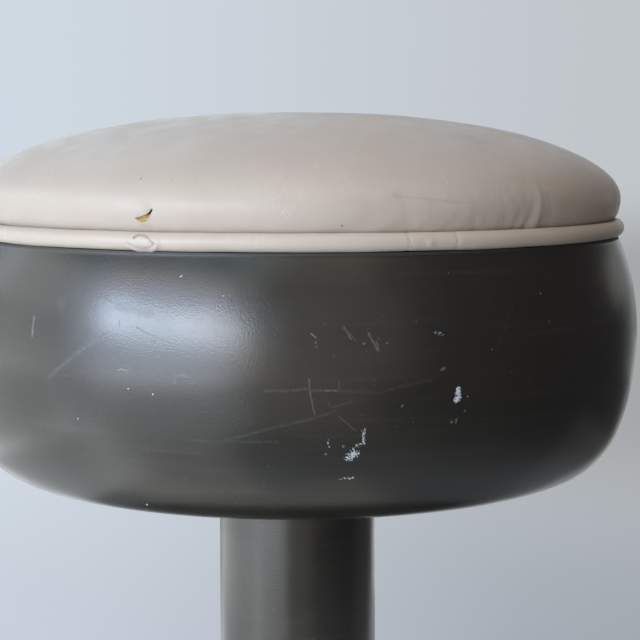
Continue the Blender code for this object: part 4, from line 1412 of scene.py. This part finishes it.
@dataclass
class Piping:
    """Leather-wrapped cord at the cushion's seam, lying on the drum's rim, with a scuffed spot."""

    ring_radius: float = 0.1634
    height: float = 0.3922
    radius: float = 0.004
    sag: float = 0.0002
    sag_mm: float = 2.5
    steps: int = 1500
    section_steps: int = 40
    scuff_azimuth: float = -22.0
    scuff_mm: Point = (7.2, 4.0)
    scuff_drop_mm: float = 0.3
    lip_height: float = 0.00045
    lip_place: float = 0.95
    lip_width: float = 0.13
    blister_height: float = 0.00035
    blister_edge: float = 0.72
    blister_fade: float = 0.05
    knot_azimuth: float = 20.5
    knot_drop_mm: float = 0.5
    knot_height: float = 0.0003
    knot_mm: float = 1.6
    joints: Point = (17.2, 24.7)
    joint_depth: float = 0.00012
    joint_mm: float = 0.8
    lump_height: float = 0.00016
    lumps: float = 9.0
    waver: float = 0.0002
    wavers: float = 4.0

    def build(self, leather: bpy.types.Material) -> None:
        """Builds the piping.

        Args:
            leather: Its finish.
        """
        middle = (self.ring_radius, self.height)
        section = arc(middle, self.radius, 0, 360, self.section_steps)[:-1]
        piping = Workbench.spin("piping_cord", section, self.steps)
        points = Workbench.points(piping)
        outward = Workbench.normals(piping)
        turn = np.arctan2(points[:, 0], -points[:, 1])
        azimuth = np.degrees(turn)
        far = np.hypot(points[:, 0], points[:, 1])
        height = (points[:, 2] - self.height) * MM_PER_M
        outside = np.clip((far - self.ring_radius) / self.radius, 0.0, 1.0)
        per_degree = degree_mm(self.ring_radius + self.radius)
        across = (azimuth - self.scuff_azimuth) * per_degree / self.scuff_mm[0]
        over = (height + self.scuff_drop_mm) / self.scuff_mm[1]
        reach = np.hypot(across, over)
        lip = np.exp(-((reach - self.lip_place) / self.lip_width) ** 2) * np.clip(0.8 - over, 0.1, 1.6)
        blister = 1.0 / (1.0 + np.exp((reach - self.blister_edge) / self.blister_fade))
        front = np.clip((far - self.ring_radius) / self.radius + 0.6, 0.0, 1.0)
        swell = (self.lip_height * lip + self.blister_height * blister) * front
        from_knot = np.hypot((azimuth - self.knot_azimuth) * per_degree, height + self.knot_drop_mm)
        swell += self.knot_height * np.exp(-(from_knot / self.knot_mm) ** 2) * outside
        for joint in self.joints:
            swell -= self.joint_depth * np.exp(-((azimuth - joint) * per_degree / self.joint_mm) ** 2)
        circle = np.c_[np.cos(turn), np.sin(turn)]
        uneven, wavering = (
            np.array([noise.noise(Vector((x * often, y * often, seed))) for x, y in circle])
            for often, seed in ((self.lumps, 2.0), (self.wavers, 9.0))
        )
        swell += self.lump_height * uneven
        points += outward * swell[:, None]
        sagging = self.sag * outside * np.clip(-height / self.sag_mm, 0.0, 1.0)
        points[:, 2] += self.waver * wavering - sagging
        Workbench.move(piping, points)
        Workbench.complete(piping, leather, Body.SEAT, Slot.LEATHER, "piping", degrees=60)


@dataclass
class HexBolt:
    """A hexagon bolt that stands upright, head down, between the levels of its CAD node."""

    node: str
    body: Body
    place: Point
    head_height: float
    across: float
    shank: float
    washer_face: float = 0.0003
    face_share: float = 0.96
    crown_share: float = 0.95
    crown_rise: float = 0.6
    tip_share: float = 0.75

    def build(self, zinc: bpy.types.Material) -> None:
        """Builds the bolt on the axis and moves it to its place.

        Args:
            zinc: Its plating.
        """
        low_corner, high_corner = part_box(self.node)
        bottom, tip = low_corner.z, high_corner.z
        corner = self.across / math.sqrt(3)
        flat = self.across / 2
        head_top = bottom + self.head_height
        face = head_top - self.washer_face
        seat = flat * self.face_share
        crown = bottom + (corner - flat) * self.crown_rise
        shoulder = tip - self.shank * (1 - self.tip_share)
        outline = [
            (0.0, bottom), (flat * self.crown_share, bottom), (corner, crown), (corner, face), (seat, face),
            (seat, head_top), (self.shank, head_top), (self.shank, shoulder),
            (self.shank * self.tip_share, tip), (0.0, tip),
        ]
        bolt = Workbench.spin(self.node + "_finished", outline, steps=48)
        points = Workbench.points(bolt)
        far = np.hypot(points[:, 0], points[:, 1])
        turn = np.arctan2(points[:, 1], points[:, 0])
        side = flat / np.cos((turn + math.pi / 6) % (math.pi / 3) - math.pi / 6)
        outside = (points[:, 2] < head_top) & (far > side)
        share = np.where(outside, side / np.maximum(far, TINY), 1.0)
        points[:, :2] *= share[:, None]
        points[:, 0] += self.place[0]
        points[:, 1] += self.place[1]
        Workbench.move(bolt, points)
        Workbench.complete(bolt, zinc, self.body, Slot.ZINC, self.node, degrees=25)


@dataclass
class Fasteners:
    """Bolts and washers that can be seen from below."""

    offset: float = 0.053
    washer_bore: float = 0.0043
    washer_radius: float = 0.009
    washer_levels: Point = (0.2678, 0.2694)
    washer_edge: float = 0.0003
    tie_bolt_sizes: tuple[float, float, float] = (0.0053, 0.013, 0.004)
    base_bolt_sizes: tuple[float, float, float] = (0.0065, 0.019, 0.006)

    def build(self, zinc: bpy.types.Material) -> None:
        """Builds the tie bolts with their washers, and the bolt in the base.

        Args:
            zinc: Their plating.
        """
        low, high = self.washer_levels
        bore, radius, edge = self.washer_bore, self.washer_radius, self.washer_edge
        outline = [
            (bore, low), (radius - edge, low), (radius, low + edge),
            (radius, high - edge), (radius - edge, high), (bore, high),
        ]
        pattern = Workbench.spin("tie_washer_pattern", outline, steps=48)
        Workbench.smooth(pattern, degrees=30)
        Workbench.dress(pattern, zinc)
        corners = [(1, 1), (-1, 1), (-1, -1), (1, -1)]
        for number, (x, y) in enumerate(corners, 1):
            place = Vector((x * self.offset, y * self.offset, 0.0))
            HexBolt(f"tie_bolt_{number}", Body.SEAT, (place.x, place.y), *self.tie_bolt_sizes).build(zinc)
            washer = Workbench.copy(pattern, f"tie_washer_{number}_finished", place)
            Workbench.fit(washer, Body.SEAT, Slot.ZINC, f"tie_washer_{number}")
        bpy.data.objects.remove(pattern)
        HexBolt("base_bolt", Body.BASE, (0.0, 0.0), *self.base_bolt_sizes).build(zinc)


@dataclass
class Pedestal:
    """Column and weighted dish base on its rubber floor ring."""

    column_radius: float = 0.0415
    column_bore: float = 0.039
    column_levels: Point = (0.0241, 0.2659)
    edge: float = 0.0006
    base_radius: float = 0.190
    wall: float = 0.002
    collar_radius: float = 0.0438
    collar_top: float = 0.047
    collar_fillet: float = 0.010
    slope_top: float = 0.035
    rim_height: float = 0.012
    rim_radius: float = 0.011
    foot: float = 0.0038
    ring_inner: float = 0.1617
    ring_outer: float = 0.1897
    ring_top: float = 0.0035
    lip_outer: float = 0.1877
    lip_inner: float = 0.1847
    lip_top: float = 0.0095
    ballast_bore: float = 0.0063
    pocket_radius: float = 0.020
    pocket_top: float = 0.0148
    ballast_radius: float = 0.176
    ballast_top: float = 0.0138
    boss_foot: float = 0.058
    boss_radius: float = 0.050
    boss_top: float = 0.0238

    def build_column(self, paint: bpy.types.Material) -> None:
        """Builds the painted tube.

        Args:
            paint: Its paint.
        """
        low, high = self.column_levels
        outer, inner, edge = self.column_radius, self.column_bore, self.edge
        rings = [(outer, low + edge + (high - low - 2 * edge) * i / 12) for i in range(13)]
        outline = [
            (inner, low + edge), (inner + edge, low), (outer - edge, low), *rings,
            (outer - edge, high), (inner + edge, high), (inner, high - edge),
        ]
        column = Workbench.spin("column", outline, steps=128)
        Workbench.complete(column, paint, Body.BASE, Slot.PAINT, "column_tube", degrees=30)

    def build_dish(self, paint: bpy.types.Material) -> None:
        """Builds the spun dish with its collar.

        Args:
            paint: Its paint.
        """
        fillet = (self.collar_radius + self.collar_fillet, self.slope_top + self.collar_fillet)
        collar = arc(fillet, self.collar_fillet, 180, 265, 14)
        rim = arc((self.base_radius - self.rim_radius, self.rim_height), self.rim_radius, 84, 0, 14)
        slope = [tuple(Vector(collar[-1]).lerp(Vector(rim[0]), i / 10)) for i in range(1, 10)]
        outside = [
            (self.collar_radius, self.collar_top), *collar, *slope, *rim, (self.base_radius, self.foot),
        ]
        dish = Workbench.spin("dish", outside + inset(outside, self.wall)[::-1], steps=192)
        Workbench.soften(dish, width=0.0004, degrees=60)
        Workbench.complete(dish, paint, Body.BASE, Slot.PAINT, "base_dish")

    def build_ring(self, rubber: bpy.types.Material) -> None:
        """Builds the rubber ring under the dish.

        Args:
            rubber: Its finish.
        """
        outline = [
            (self.ring_inner, 0.0), (self.ring_outer, 0.0), (self.ring_outer, self.ring_top),
            (self.lip_outer, self.ring_top), (self.lip_outer, self.lip_top), (self.lip_inner, self.lip_top),
            (self.lip_inner, self.ring_top), (self.ring_inner, self.ring_top),
        ]
        ring = Workbench.spin("rubber_ring", outline, steps=192)
        Workbench.soften(ring, width=0.0005)
        Workbench.complete(ring, rubber, Body.BASE, Slot.RUBBER, "floor_ring")

    def build_ballast(self, iron: bpy.types.Material) -> None:
        """Builds the cast plate that weighs the base down.

        Args:
            iron: Its finish.
        """
        outline = [
            (self.ballast_bore, self.pocket_top), (self.pocket_radius, self.pocket_top),
            (self.pocket_radius, self.foot), (self.ballast_radius, self.foot),
            (self.ballast_radius, self.ballast_top), (self.boss_foot, self.ballast_top),
            (self.boss_radius, self.boss_top), (self.ballast_bore, self.boss_top),
        ]
        plate = Workbench.spin("ballast", outline, steps=128)
        Workbench.soften(plate, width=0.0012, segments=3)
        Workbench.complete(plate, iron, Body.BASE, Slot.IRON, "ballast_plate")


@dataclass
class HiddenWorks:
    """The CAD pieces inside the stool, which keep their shapes and get their finishes."""

    by_finish: dict[str, tuple[str, ...]] = field(default_factory=lambda: {
        "steel": ("swivel_plate", "swivel_stem", "column_foot_plate"),
        "zinc": ("retaining_washer", "base_washer", "spacer_tube", "tee_nut"),
        "bearing": ("upper_race", "lower_race", "retaining_ring", "bearing_ball"),
        "nylon": ("upper_bearing_plug", "lower_bearing_plug", "ball_cage"),
        "plywood": ("seat_board",),
    })

    def dress(self, finishes: dict[str, bpy.types.Material]) -> None:
        """Gives each piece its finish.

        Args:
            finishes: The materials by name.
        """
        for finish, starts in self.by_finish.items():
            for name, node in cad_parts.items():
                if name.startswith(starts):
                    Workbench.dress(node, finishes[finish])
                    log.info("%s is finished in %s", name, finish)


# Camera and studio


@dataclass
class SoftLamp:
    """A soft light that the camera doesn't see, with its place and spread in degrees from the seat."""

    name: str
    azimuth: float
    elevation: float
    distance: float
    across: float
    tall: float
    radiance: float
    colour: Colour
    near: float = 1.0
    aim: Vector = field(default_factory=lambda: Vector((0.0, 0.0, 0.38)))

    def hang(self, beside_floor: bpy.types.Collection) -> None:
        """Hangs the lamp and points it at the seat.

        Args:
            beside_floor: What the near cards light, which is everything but the floor.
        """
        turn, rise = math.radians(self.azimuth), math.radians(self.elevation)
        away = Vector((math.sin(turn) * math.cos(rise), -math.cos(turn) * math.cos(rise), math.sin(rise)))
        Workbench.clear()
        bpy.ops.object.light_add(type="AREA", location=self.aim + away * self.distance)
        lamp = bpy.context.object
        lamp.name = self.name
        lamp.rotation_euler = (-away).to_track_quat("-Z", "Y").to_euler()
        lamp.data.shape = "RECTANGLE"
        lamp.data.size = 2 * self.distance * math.tan(math.radians(self.across / 2))
        lamp.data.size_y = 2 * self.distance * math.tan(math.radians(self.tall / 2))
        lamp.data.energy = self.radiance * math.pi * lamp.data.size * lamp.data.size_y
        lamp.data.color = self.colour
        lamp.visible_camera = False
        if self.distance < self.near:
            lamp.light_linking.receiver_collection = beside_floor


@dataclass
class Studio:
    """Camera at the photo's viewing angle, pale floor, window-like key light and soft surroundings."""

    camera_place: tuple[float, float, float] = (0.0119, -0.7842, 0.4297)
    camera_pitch: float = -6.40
    camera_lens: float = 84.375
    floor_radius: float = 1.5
    floor_colour: Colour = (0.755, 0.785, 0.815)
    floor_share: float = 0.1
    near_share: float = 0.5
    near_mm: Point = (350.0, 750.0)
    fade_mm: Point = (1450.0, 500.0)
    left_mm: Point = (250.0, -250.0)
    left_light_share: float = 1.18
    backdrop_left: Colour = (0.63, 0.70, 0.775)
    backdrop_right: Colour = (0.525, 0.555, 0.585)
    backdrop_shade: Colour = (0.37, 0.382, 0.392)
    backdrop_span: Point = (-0.26, 0.26)
    low_start: Point = (-0.02, -0.075)
    low_end: Point = (-0.165, -0.26)
    low_share: float = 0.3
    rear: Point = (0.8, 0.95)
    lamps: tuple[SoftLamp, ...] = (
        SoftLamp("window", -43.0, 8.0, 1.9, 44.0, 36.0, 2.84, (0.71, 0.79, 1.0)),
        SoftLamp("window_left_pane", -56.5, 10.0, 1.9, 10.0, 13.0, 8.3, (0.66, 0.82, 1.0)),
        SoftLamp("window_middle_pane", -41.0, 8.5, 1.9, 21.0, 13.0, 6.5, (0.72, 0.87, 1.0)),
        SoftLamp("window_right_pane", -23.0, 8.5, 1.9, 15.0, 13.0, 7.2, (0.81, 0.89, 1.0)),
        SoftLamp("window_right_foot", -16.0, -1.0, 1.9, 12.0, 14.0, 1.9, (1.0, 0.92, 0.84)),
        SoftLamp("window_head", -40.0, 27.0, 1.9, 44.0, 10.0, 1.1, (1.0, 0.74, 0.61)),
        SoftLamp("window_sill", -43.0, -11.0, 1.9, 44.0, 8.0, 1.26, (0.94, 1.0, 0.92)),
        SoftLamp("curtain", -70.0, 8.0, 1.9, 11.0, 34.0, 1.8, (0.79, 0.87, 1.0)),
        SoftLamp("left_wall", -95.0, 16.0, 1.9, 36.0, 22.0, 1.35, (0.95, 0.99, 1.0)),
        SoftLamp("left_wall_foot", -95.0, -3.0, 1.9, 36.0, 14.0, 1.15, (0.94, 1.0, 0.99)),
        SoftLamp("left_corner", -128.0, 14.0, 1.9, 34.0, 18.0, 1.0, (0.8, 0.87, 1.0)),
        SoftLamp("room_front", 4.0, 8.0, 1.9, 20.0, 36.0, 0.32, (1.0, 0.94, 0.82)),
        SoftLamp("room_front_right", 24.0, 8.0, 1.9, 20.0, 36.0, 0.26, (1.0, 0.9, 0.72)),
        SoftLamp("low_card_left", -105.0, -20.0, 0.75, 60.0, 22.0, 0.89, (0.95, 0.99, 1.0)),
        SoftLamp("low_card_middle", -45.0, -20.0, 0.75, 60.0, 22.0, 0.85, (0.91, 0.98, 1.0)),
        SoftLamp("low_card_front", 5.0, -18.0, 0.75, 30.0, 18.0, 0.29, (1.0, 0.88, 0.68)),
        SoftLamp("floor_card_left", -100.0, -48.0, 0.46, 80.0, 40.0, 0.74, (0.96, 0.99, 1.0)),
        SoftLamp("floor_card_front", -40.0, -48.0, 0.46, 40.0, 40.0, 0.37, (1.0, 0.96, 0.87)),
        SoftLamp("floor_card_middle", -14.0, -60.0, 0.4, 50.0, 30.0, 0.27, (1.0, 0.9, 0.72)),
        SoftLamp("floor_card_back", 180.0, -55.0, 0.46, 80.0, 50.0, 0.41, (0.89, 0.95, 1.0)),
        SoftLamp("floor_card_right", 125.0, -46.0, 0.46, 60.0, 40.0, 0.08, (1.0, 1.0, 1.0)),
        SoftLamp("ceiling_left", -45.0, 44.0, 2.0, 60.0, 30.0, 0.47, (0.37, 0.89, 1.0)),
        SoftLamp("ceiling_front", 5.0, 44.0, 2.0, 40.0, 30.0, 0.42, (1.0, 0.85, 0.72)),
        SoftLamp("ceiling_back", 180.0, 44.0, 2.0, 60.0, 30.0, 0.51, (0.85, 0.93, 1.0)),
        SoftLamp("high_front", 0.0, 64.0, 2.0, 60.0, 22.0, 0.92, (1.0, 0.9, 0.51)),
        SoftLamp("overhead", 0.0, 90.0, 2.0, 60.0, 60.0, 0.46, (0.83, 0.72, 1.0)),
        SoftLamp("back_high", -150.0, 44.0, 2.0, 27.0, 30.0, 0.75, (0.65, 0.88, 1.0)),
        SoftLamp("back_left", -160.0, 22.0, 1.9, 36.0, 22.0, 0.55, (0.65, 0.82, 1.0)),
        SoftLamp("back_left_low", -160.0, 0.0, 1.9, 36.0, 22.0, 1.5, (1.0, 0.95, 0.8)),
        SoftLamp("right_glow", 131.0, 4.0, 1.9, 14.0, 9.0, 0.42, (0.97, 1.0, 0.89)),
        SoftLamp("back_right", 155.0, 24.0, 1.9, 36.0, 26.0, 0.15, (0.41, 0.83, 1.0)),
        SoftLamp("back_right_side", 146.0, 0.0, 1.9, 20.0, 24.0, 0.22, (0.91, 1.0, 0.99)),
        SoftLamp("back_right_low", 168.0, 0.0, 1.9, 24.0, 22.0, 0.15, (1.0, 0.9, 0.8)),
        SoftLamp("back_right_floor", 162.0, -20.0, 0.75, 36.0, 20.0, 0.5, (1.0, 0.97, 0.85)),
    )
    room_level: float = 0.06
    room_colour: Colour = (0.98, 0.91, 1.0)

    def place_camera(self) -> None:
        """Sets up the camera that the photo's framing was measured with."""
        Workbench.clear()
        bpy.ops.object.camera_add(
            location=self.camera_place, rotation=(math.radians(90.0 + self.camera_pitch), 0.0, 0.0)
        )
        camera = bpy.context.object
        camera.name = "photo_camera"
        camera.data.lens = self.camera_lens
        camera.data.sensor_width = 36.0
        camera.data.clip_start = 0.02
        bpy.context.scene.camera = camera

    def lay_floor(self) -> Piece:
        """Lays a pale round floor that fades into the backdrop, with painted light towards its left, and
        painted dim where the paint mirrors it, with a painted pool of light near the stool.
        """
        Workbench.clear()
        bpy.ops.mesh.primitive_circle_add(vertices=96, radius=self.floor_radius, fill_type="NGON")
        floor = bpy.context.object
        floor.name = "studio_floor"
        recipe = Recipe("studio_floor")
        place = recipe.place_mm()
        far = recipe.node("ShaderNodeVectorMath", {0: place}, operation="LENGTH").outputs["Value"]
        cloud = recipe.noise(place, 0.004, 2.0)
        colour = recipe.blend(cloud, tinted(self.floor_colour, 0.97), self.floor_colour)
        # Painted light: the floor is made lighter towards the left.
        left = recipe.ramp(recipe.split(place)[0], *self.left_mm)
        colour = recipe.blend(left, colour, tinted(self.floor_colour, self.left_light_share))
        seen = recipe.node("ShaderNodeLightPath", {}).outputs["Is Camera Ray"]
        # Rays other than the camera's see the floor painted dim, with a painted pool of light near the
        # stool.
        mirrored = recipe.blend(
            recipe.ramp(far, *self.near_mm), tinted(self.floor_colour, self.near_share),
            tinted(self.floor_colour, self.floor_share),
        )
        colour = recipe.blend(seen, mirrored, colour)
        recipe.shade(Base_Color=colour, Roughness=0.9, Alpha=recipe.ramp(far, *self.fade_mm))
        Workbench.dress(floor, recipe.material)
        return floor

    def light(self, floor: Piece) -> None:
        """Hangs the lamps and surrounds the stool with a dim room and a pale backdrop behind it, painted
        lighter at the left and with painted shade low on the right.

        Args:
            floor: The floor, which the near cards leave unlit.
        """
        beside_floor = bpy.data.collections.new("beside_floor")
        beside_floor.objects.link(floor)
        beside_floor.collection_objects[0].light_linking.link_state = "EXCLUDE"
        for lamp in self.lamps:
            lamp.hang(beside_floor)
        world = bpy.data.worlds.new("studio")
        bpy.context.scene.world = world
        world.use_nodes = True
        nodes = Nodes(world.node_tree)
        nodes.tree.nodes.clear()
        x, y, z = nodes.split(nodes.node("ShaderNodeTexCoord", {}).outputs["Generated"])
        # The backdrop is painted lighter at the left than at the right, and painted shade darkens it low on
        # the right.
        across = nodes.ramp(x, *self.backdrop_span)
        low = nodes.times(across, nodes.ramp(z, *self.low_start))
        low = nodes.times(low, nodes.ramp(z, *self.low_end, (1.0, self.low_share)))
        backdrop = nodes.blend(across, self.backdrop_left, self.backdrop_right)
        backdrop = nodes.blend(low, backdrop, self.backdrop_shade)
        seen = nodes.node("ShaderNodeBackground", {"Color": backdrop}).outputs[0]
        dim = {"Color": self.room_colour, "Strength": self.room_level}
        room = nodes.node("ShaderNodeBackground", dim).outputs[0]
        path = nodes.node("ShaderNodeLightPath", {}).outputs
        mirrored = nodes.times(path["Is Glossy Ray"], nodes.ramp(y, *self.rear))
        shown = nodes.math("MAXIMUM", path["Is Camera Ray"], path["Is Transmission Ray"])
        choice = {0: nodes.math("MAXIMUM", shown, mirrored), 1: room, 2: seen}
        around = nodes.node("ShaderNodeMixShader", choice).outputs[0]
        nodes.node("ShaderNodeOutputWorld", {0: around})
        bpy.context.scene.view_settings.view_transform = "Standard"


def main() -> None:
    """Builds the stool's sub-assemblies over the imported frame, from the studio inwards."""
    logging.basicConfig(level=logging.INFO, format="%(message)s")
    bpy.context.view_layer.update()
    studio = Studio()
    studio.place_camera()
    studio.light(studio.lay_floor())

    drum_paint = SatinPaint(
        "drum_paint", scratches=DRUM_SCRATCHES, chips=DRUM_CHIPS, spatters=DRUM_SPATTERS,
        smears=DRUM_SMEARS, rust_spots=DRUM_RUST,
    ).make()
    pedestal_paint = SatinPaint("pedestal_paint").make()
    cover_leather = CreamLeather(
        "cover_leather", creases=COVER_CREASE_SHADES, wrinkles=COVER_WRINKLES, specks=COVER_SPECKS,
        soft_shades=COVER_SOFT_SHADE,
    ).make()
    # The piping's leather is a lighter copy of the cover's, painted lighter to make up for the shade it
    # lies in.
    piping_leather = CreamLeather(
        "piping_leather", light=(0.69, 0.60, 0.52), deep=(0.66, 0.57, 0.49), radius_mm=167.0,
        creases=PIPING_JOINT_AND_SHADE_LINES, wrinkles=PIPING_WRINKLES, scuffs=PIPING_SCUFFS, crinkle_shadows=PIPING_CRINKLE_SHADOWS,
    ).make()
    foam = OpenFoam().make()
    finishes = {
        "steel": BareMetal("plain_steel", (0.45, 0.45, 0.46), 0.42).make(),
        "zinc": BareMetal("zinc_plate", (0.62, 0.62, 0.60), 0.34, 0.05, (0.3, 0.3, 0.3)).make(),
        "bearing": BareMetal("bearing_steel", (0.70, 0.70, 0.72), 0.16, 0.03, (0.8, 0.8, 0.8)).make(),
        "nylon": MouldedStuff("nylon", (0.70, 0.69, 0.64), 0.5, 0.8, 0.00005).make(),
        "iron": MouldedStuff("cast_iron", (0.09, 0.09, 0.09), 0.75, 0.45, 0.0006).make(),
        "rubber": MouldedStuff("rubber", (0.025, 0.025, 0.025), 0.7, 1.2, 0.0001).make(),
        "plywood": Plywood().make(),
    }

    SeatDrum().build(drum_paint)
    cushion = Cushion()
    cushion.build(cover_leather, foam)
    cushion.build_hem(cover_leather)
    Piping().build(piping_leather)
    Fasteners().build(finishes["zinc"])
    pedestal = Pedestal()
    pedestal.build_column(pedestal_paint)
    pedestal.build_dish(pedestal_paint)
    pedestal.build_ring(finishes["rubber"])
    pedestal.build_ballast(finishes["iron"])
    HiddenWorks().dress(finishes)


if __name__ == "__main__":
    main()
